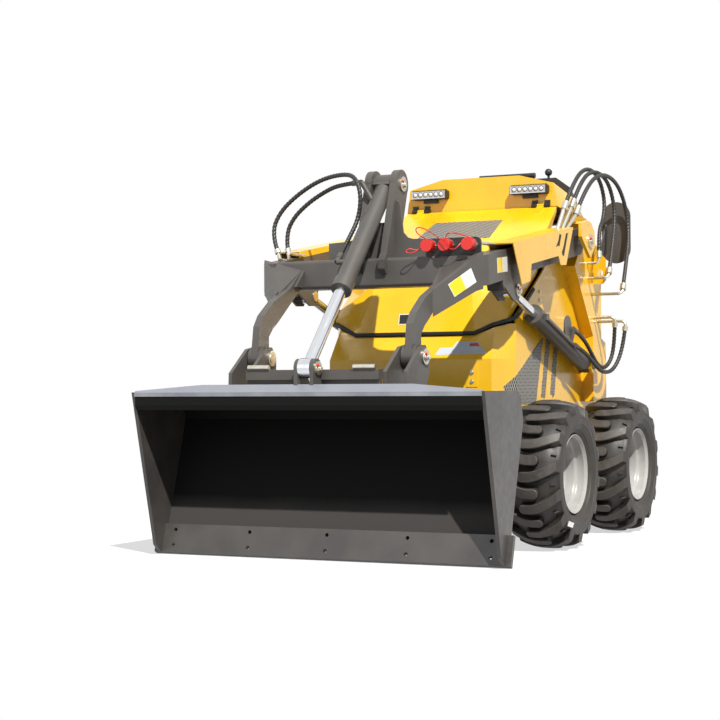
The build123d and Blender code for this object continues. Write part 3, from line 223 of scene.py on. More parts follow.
def bright_metal(name, base, tinted, roughness, scale):
    """Bare or plated steel. Plating is cloudy, in clouds of 12 to 50 mm, and slightly
    yellow where it is thick."""
    made, tree = start_material(name)
    place = add(tree, "TexCoord").outputs["Object"]
    cloud = add(tree, "TexNoise", {"Vector": place, "Scale": scale, "Detail": 5.0}).outputs[0]
    cloud = add(tree, "MapRange", {0: cloud, 1: 0.35, 2: 0.7}).outputs[0]
    tone = add(tree, "Mix", {0: cloud, 6: linear(base), 7: linear(tinted)}, data_type="RGBA").outputs[2]
    rough = add(tree, "MapRange", {0: cloud, 3: roughness, 4: roughness + 0.14}).outputs[0]
    shader = add(
        tree,
        "BsdfPrincipled",
        {"Base Color": tone, "Metallic": 1.0, "Roughness": rough},
    )
    end_material(tree, shader.outputs[0])
    return made


zinc = bright_metal("clear_zinc_plate", "#D5D3CC", "#C4BEA6", 0.3, 45.0)
dress(zinc, "chassis_pins", "arm_pins", "bucket_pins", "lock_levers", "steel_tubes", "arm_fittings")
chrome = bright_metal("hard_chrome", "#E2E4E8", "#D5D8DD", 0.12, 20.0)
dress(chrome, "lift_rod_left", "lift_rod_right", "tilt_rod")
casting = bright_metal("cast_aluminium", "#6A6C6E", "#5A5C5E", 0.5, 80.0)
dress(casting, "engine_block")

# ------------------------------------------------------------------ plastics
# Moulded ABS and foam: console cowl, padded hip rest, lever grips, lamp housings and
# the dust caps of the couplers.


def moulded(name, base, roughness, grain_height):
    """Moulded plastic with a spark-eroded grain that breaks up its reflections. The real
    grain is 0.3 mm; it is drawn 1.4 mm wide, so that it shows."""
    made, tree = start_material(name)
    place = add(tree, "TexCoord").outputs["Object"]
    grain = add(tree, "TexVoronoi", {"Vector": place, "Scale": 700.0}).outputs[0]
    drift = add(tree, "TexNoise", {"Vector": place, "Scale": 12.0, "Detail": 4.0}).outputs[0]
    dark = tuple(c * 0.82 for c in linear(base)[:3]) + (1.0,)
    tone = add(tree, "Mix", {0: drift, 6: linear(base), 7: dark}, data_type="RGBA").outputs[2]
    bump = add(tree, "Bump", {"Height": grain, "Strength": grain_height, "Distance": 0.0005}).outputs[0]
    shader = add(
        tree,
        "BsdfPrincipled",
        {"Base Color": tone, "Roughness": roughness, "IOR": 1.53, "Normal": bump},
    )
    end_material(tree, shader.outputs[0])
    return made


black_abs = moulded("grained_black_abs", "#1C1C1E", 0.48, 0.2)
dress(black_abs, "console_cowl", "hip_pad", "control_levers", "work_lights")
red_cap = moulded("red_polyethylene", "#E02A22", 0.33, 0.05)
dress(red_cap, "coupler_caps")

# ------------------------------------------------------------------ hood seal
# An extruded strip of black EPDM rubber, pushed on the upper edge of the nose and of the
# side panels. The closed hood rests on it.


def carbon_rubber(name, clean, dusty, gloss):
    """Carbon black rubber, matt and browned by dry dust in patches of 40 mm, which hides
    the gloss where it lies. The mould's grain is drawn 2.6 mm wide, several times the real
    one, so that it shows."""
    made, tree = start_material(name)
    place = add(tree, "TexCoord").outputs["Object"]
    dust = add(
        tree, "TexNoise", {"Vector": place, "Scale": 26.0, "Detail": 8.0, "Roughness": 0.7}
    ).outputs[0]
    dust = add(tree, "MapRange", {0: dust, 1: 0.42, 2: 0.68}).outputs[0]
    tone = add(tree, "Mix", {0: dust, 6: linear(clean), 7: linear(dusty)}, data_type="RGBA").outputs[2]
    rough = add(tree, "MapRange", {0: dust, 3: gloss, 4: gloss + 0.24}).outputs[0]
    grain = add(tree, "TexNoise", {"Vector": place, "Scale": 380.0, "Detail": 4.0}).outputs[0]
    bump = add(tree, "Bump", {"Height": grain, "Strength": 0.25, "Distance": 0.001}).outputs[0]
    shader = add(
        tree,
        "BsdfPrincipled",
        {"Base Color": tone, "Roughness": rough, "IOR": 1.5, "Normal": bump},
    )
    end_material(tree, shader.outputs[0])
    return made


def started(primitive, name, **settings):
    """Start a piece from a primitive, with nothing else selected."""
    bpy.ops.object.select_all(action="DESELECT")
    primitive(**settings)
    made = bpy.context.active_object
    made.name = name
    return made


def ended(piece, material, body):
    """Leave edit mode, and give the piece its material and the body that it rides on."""
    bpy.ops.object.mode_set(mode="OBJECT")
    piece.data.materials.append(material)
    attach(piece, body)


seal_rubber = carbon_rubber("black_epdm_seal", "#0E0E0F", "#161616", 0.55)
seal_turns = (
    ((-0.075, 0.3535, 0.906), (0, 1, 0)),
    ((0.042, 0.3535, 0.835), (0, 1, 0)),
    ((0.104, 0.3535, 0.8), (0.1, 1, 0)),
    ((0.152, 0.3415, 0.787), (0.5, 0.86, 0)),
    ((0.181, 0.296, 0.772), (0.86, 0.5, 0)),
    ((0.2015, 0.231, 0.742), (0.97, 0.25, 0)),
)
seal_line = [(Vector(spot), Vector(out).normalized()) for spot, out in seal_turns]
seal_line += [(Vector((s.x, -s.y, s.z)), Vector((o.x, -o.y, o.z))) for s, o in reversed(seal_line)]
seal = started(bpy.ops.mesh.primitive_circle_add, "hood_seal_strip", vertices=8, fill_type="NGON")
seal_edge = [(-0.003, -0.0065), (0.003, -0.0075), (0.006, -0.0045), (0.0065, 0.0)]
seal_edge += [(out, -up) for out, up in reversed(seal_edge[:3])] + [(-0.003, 0.0)]


def seal_ring(number):
    """The strip's section, set square to its line at one of its corners."""
    spot, out = seal_line[number]
    before = seal_line[max(number - 1, 0)][0]
    after = seal_line[min(number + 1, len(seal_line) - 1)][0]
    ahead = (after - before).normalized()
    up = ahead.cross(out).normalized()
    return [spot + out * reach + up * height for reach, height in seal_edge]


def drawn_along(piece, rings):
    """Draw a flat outline through rings of corners to a closed strip, left in edit mode."""
    for corner, spot in zip(piece.data.vertices, rings[0]):
        corner.co = spot
    bpy.ops.object.mode_set(mode="EDIT")
    bpy.ops.mesh.select_mode(type="FACE")
    for ring in rings[1:]:
        bpy.ops.mesh.extrude_region_move(TRANSFORM_OT_translate={"value": (0, 0, 0.001)})
        form = bmesh.from_edit_mesh(piece.data)
        for corner, spot in zip([v for v in form.verts if v.select], ring):
            corner.co = spot
        bmesh.update_edit_mesh(piece.data)
    bpy.ops.mesh.select_all(action="SELECT")
    bpy.ops.mesh.normals_make_consistent(inside=False)


drawn_along(seal, [seal_ring(number) for number in range(len(seal_line))])
ended(seal, seal_rubber, "chassis")

# ------------------------------------------------------------------ vent meshes
# Expanded steel mesh in black paint, spot welded behind the openings of the hood and of
# the side panels; two upright slots on each side have the same mesh. The arm covers have
# two short slots, drawn as thin black plates: painted shade inside them.
PLATE_SUNK = 0.0004
MESH_LONG = 0.024
MESH_SHORT = 0.013
STRAND_SHARE = 0.25


def flat_plate(name, corners, out, thickness, material, body):
    """A flat plate with its corners listed in mm, sunk a little in what it lies on and
    drawn out along a direction."""
    plate = started(
        bpy.ops.mesh.primitive_circle_add, name, vertices=len(corners), fill_type="NGON"
    )
    out = Vector(out).normalized()
    for corner, spot in zip(plate.data.vertices, corners):
        corner.co = Vector(spot) / 1000 - out * PLATE_SUNK
    bpy.ops.object.mode_set(mode="EDIT")
    rise = tuple(out * (thickness / 1000 + PLATE_SUNK))
    bpy.ops.mesh.extrude_region_move(TRANSFORM_OT_translate={"value": rise})
    bpy.ops.mesh.select_all(action="SELECT")
    bpy.ops.mesh.normals_make_consistent(inside=False)
    ended(plate, material, body)


def expanded_mesh(name, first, second):
    """Expanded metal over the dark space behind it, drawn as a pattern on a flat plate: the pale
    strands are a painted highlight on the black mesh's edges, and the black between them is
    painted shade in the openings. The real diamonds are 12 x 6 mm; here they are 24 x 13 mm,
    so that they show from afar."""
    made, tree = start_material(name)
    place = add(tree, "TexCoord").outputs["Object"]
    split = add(tree, "SeparateXYZ", {"Vector": place})
    long_way = split.outputs[first]
    long_way = add(tree, "Math", {0: long_way, 1: MESH_LONG}, operation="DIVIDE").outputs[0]
    short_way = split.outputs[second]
    short_way = add(tree, "Math", {0: short_way, 1: MESH_SHORT}, operation="DIVIDE").outputs[0]
    strands = None
    for kind in ("ADD", "SUBTRACT"):
        lean = add(tree, "Math", {0: long_way, 1: short_way}, operation=kind).outputs[0]
        lean = add(tree, "Math", {0: lean}, operation="FRACT").outputs[0]
        lean = add(tree, "Math", {0: lean, 1: STRAND_SHARE}, operation="LESS_THAN").outputs[0]
        if strands is None:
            strands = lean
        else:
            strands = add(tree, "Math", {0: strands, 1: lean}, operation="MAXIMUM").outputs[0]
    # Pale strands are a painted highlight; the near-black openings are painted shade.
    tone = add(
        tree,
        "Mix",
        {0: strands, 6: linear("#060606"), 7: linear("#A8A59E")},
        data_type="RGBA",
    ).outputs[2]
    bump = add(tree, "Bump", {"Height": strands, "Strength": 0.6, "Distance": 0.001}).outputs[0]
    shader = add(tree, "BsdfPrincipled", {"Base Color": tone, "Roughness": 0.45, "Normal": bump})
    end_material(tree, shader.outputs[0])
    return made


side_mesh = expanded_mesh("expanded_steel_side", "Z", "X")
top_mesh = expanded_mesh("expanded_steel_top", "Y", "X")
dress(side_mesh, "nose_grilles")
dress(top_mesh, "hood_grille")
HOOD_MESH = ((-330, -140), (-330, 140), (-154, 152), (-154, -152))
SIDE_VENT = ((-180, 734), (103, 592), (103, 491), (-95, 484))
NOSE_VENT = ((103, 592), (182, 552), (140, 492), (103, 491))
SIDE_SLOTS = (
    ((-216, 739), (-262, 739), (-193, 508), (-150, 512)),
    ((-300, 718), (-347, 722), (-300, 518), (-252, 519)),
)
COVER_SLOTS = (
    ((-99, 1101), (-80, 1104), (-58, 1062), (-77, 1058)),
    ((-172, 1110), (-152, 1112), (-106, 1030), (-126, 1026)),
)
PANEL_OUT = 352
COVER_OUT = 454
HOOD_HEIGHT = 1036.549
HOOD_FALL = 0.4615
NOSE_CORNER = 103
NOSE_TURN = 0.2517
hood_corners = [(x, y, HOOD_HEIGHT - x * HOOD_FALL) for x, y in HOOD_MESH]
flat_plate("hood_mesh", hood_corners, (0.42, 0, 0.91), 1.0, top_mesh, "hood")
for side, word in ((1, "left"), (-1, "right")):
    corners = [(x, side * PANEL_OUT, z) for x, z in SIDE_VENT]
    flat_plate("side_vent_" + word, corners, (0, side, 0), 1.0, side_mesh, "chassis")
    corners = [(x, side * (PANEL_OUT - (x - NOSE_CORNER) * NOSE_TURN), z) for x, z in NOSE_VENT]
    flat_plate("nose_vent_" + word, corners, (0.244, side * 0.97, 0), 1.0, side_mesh, "chassis")
    for number, slot in enumerate(SIDE_SLOTS):
        name = "side_slot_%s_%d" % (word, number)
        corners = [(x, side * PANEL_OUT, z) for x, z in slot]
        flat_plate(name, corners, (0, side, 0), 1.0, side_mesh, "chassis")
    # The cover slots are thin black plates in the seal's rubber, painted shade in the slots.
    for number, slot in enumerate(COVER_SLOTS):
        name = "cover_slot_%s_%d" % (word, number)
        corners = [(x, side * COVER_OUT, z) for x, z in slot]
        flat_plate(name, corners, (0, side, 0), 0.4, seal_rubber, "arms")

# ------------------------------------------------------------------ work light fronts
# Each LED bar has a pressed reflector tray with six cups, and a clear dome over each
# chip, set in a black cast housing with cooling fins.
LAMP_OUT = 0.209
LAMP_FACE = -0.4165
LAMP_HEIGHT = 1.3125
LAMP_STEP = 0.0222
LAMPS = 6
FIN_STEP = 0.0098
FINS = 15
tray_metal = moulded("metallised_reflector", "#B9BEC8", 0.2, 0.0)
lens_clear = moulded("clear_polycarbonate_lens", "#EEF1F5", 0.06, 0.0)


def pick(piece, kind, test):
    """In edit mode, select only the faces or edges whose corners pass a test."""
    bpy.ops.mesh.select_mode(type=kind)
    bpy.ops.mesh.select_all(action="DESELECT")
    form = bmesh.from_edit_mesh(piece.data)
    for part in form.faces if kind == "FACE" else form.edges:
        part.select_set(test([v.co for v in part.verts]))
    form.select_flush_mode()
    bmesh.update_edit_mesh(piece.data)


def joined(name, pieces):
    """Several meshes made one piece."""
    bpy.ops.object.select_all(action="DESELECT")
    for piece in pieces:
        piece.select_set(True)
    bpy.context.view_layer.objects.active = pieces[0]
    bpy.ops.object.join()
    pieces[0].name = name
    return pieces[0]


def quarter_turn(axis):
    """In edit mode, turn what is selected a quarter round an axis through the origin."""
    bpy.ops.transform.rotate(
        value=math.pi / 2, orient_axis=axis, center_override=(0, 0, 0), orient_type="GLOBAL"
    )


for side, word in ((1, "left"), (-1, "right")):
    middle = side * LAMP_OUT
    tray = started(bpy.ops.mesh.primitive_cube_add, "lamp_tray_" + word, size=1)
    bpy.ops.object.mode_set(mode="EDIT")
    bpy.ops.transform.resize(value=(0.003, 0.144, 0.031))
    bpy.ops.transform.translate(value=(LAMP_FACE, middle, LAMP_HEIGHT))
    pick(tray, "FACE", lambda ends: all(v.x > LAMP_FACE + 0.001 for v in ends))
    bpy.ops.mesh.inset(thickness=0.0022)
    bpy.ops.transform.translate(value=(-0.0016, 0, 0))
    ended(tray, tray_metal, "chassis")
    domes = []
    rings = []
    for number in range(LAMPS):
        spot = middle + (number - (LAMPS - 1) / 2) * LAMP_STEP
        domes.append(
            started(
                bpy.ops.mesh.primitive_uv_sphere_add, "dome", segments=20, ring_count=10, radius=0.0072
            )
        )
        bpy.ops.object.mode_set(mode="EDIT")
        bpy.ops.transform.resize(value=(0.42, 1, 1))
        bpy.ops.transform.translate(value=(LAMP_FACE, spot, LAMP_HEIGHT))
        bpy.ops.mesh.faces_shade_smooth()
        bpy.ops.object.mode_set(mode="OBJECT")
        rings.append(
            started(
                bpy.ops.mesh.primitive_torus_add,
                "ring",
                major_segments=24,
                minor_segments=6,
                major_radius=0.0092,
                minor_radius=0.0009,
            )
        )
        bpy.ops.object.mode_set(mode="EDIT")
        quarter_turn("Y")
        bpy.ops.transform.translate(value=(LAMP_FACE - 0.0001, spot, LAMP_HEIGHT))
        bpy.ops.mesh.faces_shade_smooth()
        bpy.ops.object.mode_set(mode="OBJECT")
    ended(joined("lamp_lenses_" + word, domes), lens_clear, "chassis")
    ended(joined("lamp_bezels_" + word, rings), black_abs, "chassis")
    fins = []
    for number in range(FINS):
        fins.append(started(bpy.ops.mesh.primitive_cube_add, "fin", size=1))
        bpy.ops.object.mode_set(mode="EDIT")
        bpy.ops.transform.resize(value=(0.02, 0.0022, 0.004))
        along = middle + (number - FINS // 2) * FIN_STEP
        bpy.ops.transform.translate(value=(-0.438, along, LAMP_HEIGHT + 0.018))
        bpy.ops.object.mode_set(mode="OBJECT")
    ended(joined("lamp_fins_" + word, fins), black_abs, "chassis")

# ------------------------------------------------------------------ rims
# Pressed and rolled steel rims: a lip, a bead seat and a barrel that steps down to a
# dished disc, welded in, painted silver. Six nuts hold each to its hub motor.
WHEELS = {
    "front_left": (0.25, 0.5325, 0.254),
    "front_right": (0.25, -0.5325, 0.254),
    "rear_left": (-0.494, 0.5325, 0.254),
    "rear_right": (-0.494, -0.5325, 0.254),
}
NUTS = 6
silver_paint = powder_coat("silver_rim_paint", "#A9A9A8", "#9B9A98", 70.0, 0.3, 0.4)
section = (
    (0.1350, 0.0800), (0.1350, 0.0838), (0.1340, 0.0850), (0.1325, 0.0850), (0.1300, 0.0825),
    (0.1275, 0.0775), (0.1245, 0.0755), (0.1238, 0.0700), (0.1232, 0.0520), (0.1215, 0.0490),
    (0.1165, 0.0440), (0.1148, 0.0400), (0.1140, 0.0160), (0.1120, 0.0080), (0.1075, 0.0000),
    (0.1010, -0.0060), (0.0930, -0.0085), (0.0800, -0.0098), (0.0500, -0.0098),
    (0.0300, -0.0098), (0.0300, -0.0178), (0.0800, -0.0178), (0.1150, -0.0178),
    (0.1170, -0.0300), (0.1170, -0.0600), (0.1235, -0.0755), (0.1320, -0.0850),
    (0.1350, -0.0850), (0.1350, -0.0800), (0.1268, -0.0765), (0.1268, -0.0600),
    (0.1200, -0.0500), (0.1190, 0.0300), (0.1268, 0.0500), (0.1268, 0.0765),
)


def turned(name, section, steps, soft):
    """A closed section, listed as reach from the axle and place along it, spun round Y.
    Edges that turn less than soft degrees look smooth."""
    made = started(bpy.ops.mesh.primitive_circle_add, name, vertices=len(section))
    for corner, (reach, along) in zip(made.data.vertices, section):
        corner.co = (0, along, reach)
    bpy.ops.object.mode_set(mode="EDIT")
    bpy.ops.mesh.select_all(action="SELECT")
    bpy.ops.mesh.spin(steps=steps, angle=2 * math.pi, center=(0, 0, 0), axis=(0, 1, 0))
    bpy.ops.mesh.select_all(action="SELECT")
    bpy.ops.mesh.remove_doubles(threshold=0.00001)
    bpy.ops.mesh.normals_make_consistent(inside=False)
    bpy.ops.object.mode_set(mode="OBJECT")
    bpy.ops.object.shade_smooth_by_angle(angle=math.radians(soft))
    return made


def copy_at(piece, name, matrix):
    """A copy with its own mesh, moved in its mesh."""
    made = piece.copy()
    made.data = piece.data.copy()
    made.name = name
    bpy.context.scene.collection.objects.link(made)
    made.data.transform(matrix)
    if matrix.determinant() < 0:
        made.data.flip_normals()
    return made


rim = turned("rim", section, 96, 30)
rim.data.materials.append(silver_paint)
nut = started(bpy.ops.mesh.primitive_cylinder_add, "nut", vertices=6, radius=0.0125, depth=0.009)
bpy.ops.object.mode_set(mode="EDIT")
quarter_turn("X")
bpy.ops.transform.translate(value=(0.07, -0.0055, 0))
bpy.ops.mesh.bevel(offset=0.0012, segments=1)
bpy.ops.object.mode_set(mode="OBJECT")
turns = [Matrix.Rotation(2 * math.pi * number / NUTS, 4, "Y") for number in range(NUTS)]
wheel_nuts = joined("wheel_nuts", [copy_at(nut, "nut", turn) for turn in turns])
bpy.data.objects.remove(nut)
wheel_nuts.data.materials.append(zinc)
for corner, centre in WHEELS.items():
    outwards = Matrix.Diagonal((1, 1 if centre[1] > 0 else -1, 1, 1))
    made = copy_at(rim, "rim_rolled_" + corner, Matrix.Translation(centre) @ outwards)
    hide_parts("rim_" + corner)
    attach(made, "wheel_" + corner)
    made = copy_at(wheel_nuts, "wheel_nuts_" + corner, Matrix.Translation(centre) @ outwards)
    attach(made, "wheel_" + corner)
bpy.data.objects.remove(rim)
bpy.data.objects.remove(wheel_nuts)

# ------------------------------------------------------------------ tyres
# Lugged 20 x 8.00-10 tyres, moulded in one piece of black rubber: a rounded carcass with
# fourteen bars to each side that start past the middle of the tread and sweep back over
# the shoulder. Each tyre is stretched over its rim and held there by its beads.
TYRE_RADIUS = 0.254
SHOULDER = 0.1
SHOULDER_DROP = 0.0225
BARS_A_SIDE = 14
BAR_WIDTH = 0.034
BAR_END = 0.0985
BAR_PAST_MIDDLE = 0.036
BAR_SWEEP = 0.044
BAR_EASE = 0.0026
BAR_ROUND = BAR_WIDTH * 0.46
BAR_CUTS = 12
BAR_ARC = 0.25
TREAD_ROOT = 0.222
SHOULDER_ROOT = 0.2
# One compound in three tones: darkest in the grooves as painted shade, lighter on the sidewalls, lightest
# on the bar tops.
groove_painted_shade_rubber = carbon_rubber("rubber_painted_shade_in_the_grooves", "#1F1D1C", "#37322D", 0.44)
wall_rubber = carbon_rubber("rubber_of_the_sidewall", "#2C2927", "#3F3A35", 0.5)
tread_rubber = carbon_rubber("rubber_of_the_tread", "#3A3735", "#514B46", 0.5)


def crown(across):
    """How far the bars' tops stand from the axle at a place across the tread."""
    return TYRE_RADIUS - SHOULDER_DROP * (abs(across) / SHOULDER) ** 2.3


outer_wall = (
    (0.2325, 0.0), (0.2315, 0.03), (0.2265, 0.056), (0.2185, 0.074), (0.2095, 0.087),
    (0.2055, 0.0935), (0.2045, 0.1), (0.1985, 0.1018), (0.1935, 0.1022), (0.1925, 0.1012),
    (0.184, 0.1018), (0.176, 0.1014), (0.175, 0.1022), (0.1725, 0.102), (0.1715, 0.1006),
    (0.164, 0.0982), (0.1565, 0.094), (0.1555, 0.0945), (0.152, 0.0925), (0.151, 0.0905),
    (0.146, 0.0862), (0.1405, 0.081), (0.137, 0.0765), (0.1365, 0.0748), (0.1274, 0.0745),
)
section = list(outer_wall) + [(reach, -along) for reach, along in reversed(outer_wall[1:])]
carcass = turned("tyre_carcass", section, 98, 32)

# One bar: a block with a rounded inner end and eased top edges, cut across so that it can
# follow the tread, then laid along its sweep with walls that lean outwards to the root.
bar = started(bpy.ops.mesh.primitive_cube_add, "bar", size=1)
bpy.ops.object.mode_set(mode="EDIT")
bpy.ops.transform.resize(value=(BAR_WIDTH, BAR_END + BAR_PAST_MIDDLE, 1.0))
bpy.ops.transform.translate(value=(0, (BAR_END - BAR_PAST_MIDDLE) / 2, 0.5))
pick(bar, "EDGE", lambda ends: all(v.y < 0 for v in ends) and abs(ends[0].z - ends[1].z) > 0.5)
bpy.ops.mesh.bevel(offset=BAR_ROUND, segments=5, affect="EDGES")
for cut in range(1, BAR_CUTS):
    bpy.ops.mesh.select_all(action="SELECT")
    spot = 0.016 - BAR_PAST_MIDDLE + cut * 0.1165 / BAR_CUTS
    bpy.ops.mesh.bisect(plane_co=(0, spot, 0), plane_no=(0, 1, 0))
pick(bar, "FACE", lambda ends: all(v.z > 0.99 for v in ends))
bpy.ops.mesh.inset(thickness=BAR_EASE, depth=0)
bpy.ops.object.mode_set(mode="OBJECT")
for vertex in bar.data.vertices:
    along, across, height = vertex.co
    on_top = height > 0.5
    eased = min(BAR_WIDTH / 2 - abs(along), BAR_END - across) < 0.001
    if across + BAR_PAST_MIDDLE < 0.012:
        from_round = math.hypot(along, across + BAR_PAST_MIDDLE - BAR_ROUND)
        eased = eased or from_round > BAR_WIDTH * 0.45
    top = crown(across) - (BAR_EASE if eased else 0.0)
    root = SHOULDER_ROOT if across > 0.08 else TREAD_ROOT
    reach = top if on_top else root
    lean = 1.0 if on_top else 1.3
    widen = 1.0 + 0.16 * max(0.0, across) / SHOULDER
    sweep = BAR_SWEEP * (max(0.0, across) / SHOULDER) ** 1.7
    turn = (sweep + along * lean * widen) / BAR_ARC
    if across > 0.0975:
        across = 0.0965 if on_top else 0.1022
    vertex.co = (reach * math.cos(turn), across, reach * math.sin(turn))
bpy.ops.object.mode_set(mode="EDIT")
bpy.ops.mesh.select_all(action="SELECT")
bpy.ops.mesh.normals_make_consistent(inside=False)
bpy.ops.object.mode_set(mode="OBJECT")
bpy.ops.object.shade_smooth_by_angle(angle=math.radians(28))

# A small tie rib stands in each groove at the shoulder.
tie = started(bpy.ops.mesh.primitive_cube_add, "tie", size=1)
bpy.ops.object.mode_set(mode="EDIT")
bpy.ops.transform.resize(value=(0.012, 0.019, 0.0035))
bpy.ops.mesh.select_all(action="SELECT")
bpy.ops.mesh.bevel(offset=0.001, segments=1)
bpy.ops.transform.rotate(
    value=math.radians(-38), orient_axis="Z", center_override=(0, 0, 0), orient_type="GLOBAL"
)
bpy.ops.transform.translate(value=(0.2165, 0.079, 0))
bpy.ops.object.mode_set(mode="OBJECT")

parts = [carcass]
for number in range(BARS_A_SIDE):
    for side in (1, -1):
        turn = 2 * math.pi * (number + (0.5 if side < 0 else 0.0)) / BARS_A_SIDE
        flip = Matrix.Diagonal((1, side, 1, 1))
        parts.append(copy_at(bar, "bar", Matrix.Rotation(-turn, 4, "Y") @ flip))
        tie_turn = turn + BAR_SWEEP * 0.64 / BAR_ARC + math.pi / BARS_A_SIDE
        parts.append(copy_at(tie, "tie", Matrix.Rotation(-tie_turn, 4, "Y") @ flip))
bpy.data.objects.remove(bar)
bpy.data.objects.remove(tie)
tyre = joined("tyre", parts)
tyre.data.materials.clear()
for rubber in (groove_painted_shade_rubber, wall_rubber, tread_rubber):
    tyre.data.materials.append(rubber)
# Faces deep in the grooves keep the darkest rubber, which is painted shade; the bar tops get the
# lightest.
for face in tyre.data.polygons:
    spot = face.center
    reach = math.hypot(spot.x, spot.z)
    outward = (spot.x * face.normal.x + spot.z * face.normal.z) / reach
    face.material_index = 0
    if reach > crown(spot.y) - 0.004 and outward > 0.4:
        face.material_index = 2
    elif abs(spot.y) > 0.0895 and abs(face.normal.y) > 0.55 or reach < 0.19:
        face.material_index = 1
for corner, centre in WHEELS.items():
    made = copy_at(tyre, "tyre_lugged_" + corner, Matrix.Translation(centre))
    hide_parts("tyre_" + corner)
    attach(made, "wheel_" + corner)
bpy.data.objects.remove(tyre)

# ------------------------------------------------------------------ arms, tower and cylinders
# Welded box arms of thick plate, the crossmember, the tower that carries the tilt
# cylinder, and the cylinder barrels, all in satin graphite powder coat. The driver's side
# guard and the hub motors have the same coat, and the couplers sit in a black bracket.
graphite_coat = powder_coat("graphite_powder_coat", "#4A4745", "#57534F", 90.0, 0.46, 0.1)
dress(
    graphite_coat,
    "lift_arm_left",
    "lift_arm_right",
    "crossmember",
    "tower",
    "attach_plate",
    "lift_barrel_left",
    "lift_barrel_right",
    "tilt_barrel",
    "side_guard",
    "hub_motors",
)
dress(black_coat, "coupler_bracket")

# ------------------------------------------------------------------ hydraulic hoses
# Two-wire rubber hydraulic hose, 16 mm over its spiral guard: a plastic band wound
# round the hose, 14 mm from turn to turn, that keeps it from chafing. Each hose ends
# in a crimped fitting at both ends, so its length and its line are fixed.
HOSE_DIAMETER = 0.016
HOSE_SIDES = 18
GUARD_PITCH = 0.014
GUARD_HEIGHT = 0.0011
HOSES = {
    "arm_hose_1": (
        0.748,
        (
            (-0.295, 0.407, 1.24), (-0.382, 0.412, 1.338), (-0.51, 0.418, 1.396),
            (-0.638, 0.424, 1.372), (-0.696, 0.43, 1.288), (-0.662, 0.435, 1.206),
            (-0.585, 0.44, 1.155), (-0.568, 0.445, 1.072),
        ),
    ),
    "arm_hose_2": (
        0.789,
        (
            (-0.34, 0.422, 1.252), (-0.418, 0.43, 1.344), (-0.546, 0.438, 1.386),
            (-0.678, 0.447, 1.362), (-0.74, 0.456, 1.268), (-0.704, 0.466, 1.15),
            (-0.596, 0.478, 1.006),
        ),
    ),
    "arm_hose_3": (
        0.893,
        (
            (-0.348, 0.438, 1.226), (-0.422, 0.449, 1.318), (-0.558, 0.462, 1.376),
            (-0.708, 0.475, 1.356), (-0.792, 0.488, 1.262), (-0.784, 0.5, 1.142),
            (-0.712, 0.511, 1.04), (-0.64, 0.52, 0.945),
        ),
    ),
    "lift_hose_lower_left": (
        0.502,
        (
            (-0.322, 0.4372, 0.698), (-0.394, 0.446, 0.677), (-0.472, 0.452, 0.638),
            (-0.55, 0.462, 0.6), (-0.634, 0.48, 0.61), (-0.686, 0.5, 0.69),
            (-0.69, 0.509, 0.766),
        ),
    ),
    "lift_hose_upper_left": (
        0.477,
        (
            (-0.361, 0.42, 0.756), (-0.422, 0.428, 0.732), (-0.482, 0.436, 0.684),
            (-0.534, 0.444, 0.634), (-0.6, 0.452, 0.616), (-0.656, 0.464, 0.652),
            (-0.664, 0.474, 0.722), (-0.646, 0.482, 0.782),
        ),
    ),
    "tilt_hose_low": (
        0.864,
        (
            (0.482, -0.404, 1.042), (0.47, -0.432, 1.104), (0.455, -0.406, 1.18),
            (0.448, -0.33, 1.244), (0.462, -0.23, 1.288), (0.506, -0.114, 1.294),
            (0.544, -0.06, 1.268), (0.558, -0.036, 1.206), (0.544, -0.054, 1.13),
            (0.6, -0.064, 1.058), (0.668, -0.06, 1.002),
        ),
    ),
    "tilt_hose_top": (
        0.425,
        (
            (0.44, -0.384, 1.048), (0.431, -0.394, 1.1), (0.426, -0.368, 1.158),
            (0.427, -0.308, 1.208), (0.436, -0.236, 1.244), (0.464, -0.17, 1.26),
            (0.495, -0.098, 1.26),
        ),
    ),
}
for end in ("lower", "upper"):
    length, route = HOSES["lift_hose_%s_left" % end]
    HOSES["lift_hose_%s_right" % end] = (length, tuple((x, -y, z) for x, y, z in route))

hose_rubber, tree = start_material("hose_rubber_with_spiral_guard")
# Black synthetic rubber under a semi-matt polyethylene band: dark, with dust in specks of
# 4 mm and a soft sheen along the top of each turn.
place = add(tree, "TexCoord").outputs["Object"]
hose_dust = add(tree, "TexNoise", {"Vector": place, "Scale": 240.0, "Detail": 4.0}).outputs[0]
hose_tone = add(
    tree,
    "Mix",
    {"Factor": hose_dust, 6: linear("#181818"), 7: linear("#34322F")},
    data_type="RGBA",
).outputs[2]
hose_bump = add(tree, "Bump", {"Height": hose_dust, "Strength": 0.12, "Distance": 0.0006}).outputs[0]
hose_shader = add(
    tree,
    "BsdfPrincipled",
    {"Base Color": hose_tone, "Roughness": 0.42, "IOR": 1.5, "Normal": hose_bump},
)
end_material(tree, hose_shader.outputs[0])


def line_of(route):
    """Points along the smooth line of a hose's route."""
    curve = bpy.data.curves.new("route", "CURVE")
    curve.dimensions = "3D"
    curve.resolution_u = 24
    spline = curve.splines.new("NURBS")
    spline.points.add(len(route) - 1)
    for point, spot in zip(spline.points, route):
        point.co = (*spot, 1.0)
    spline.order_u = 3
    spline.use_endpoint_u = True
    holder = bpy.data.objects.new("route", curve)
    mesh = bpy.data.meshes.new_from_object(holder)
    line = [v.co.copy() for v in mesh.vertices]
    bpy.data.objects.remove(holder)
    bpy.data.curves.remove(curve)
    bpy.data.meshes.remove(mesh)
    return line


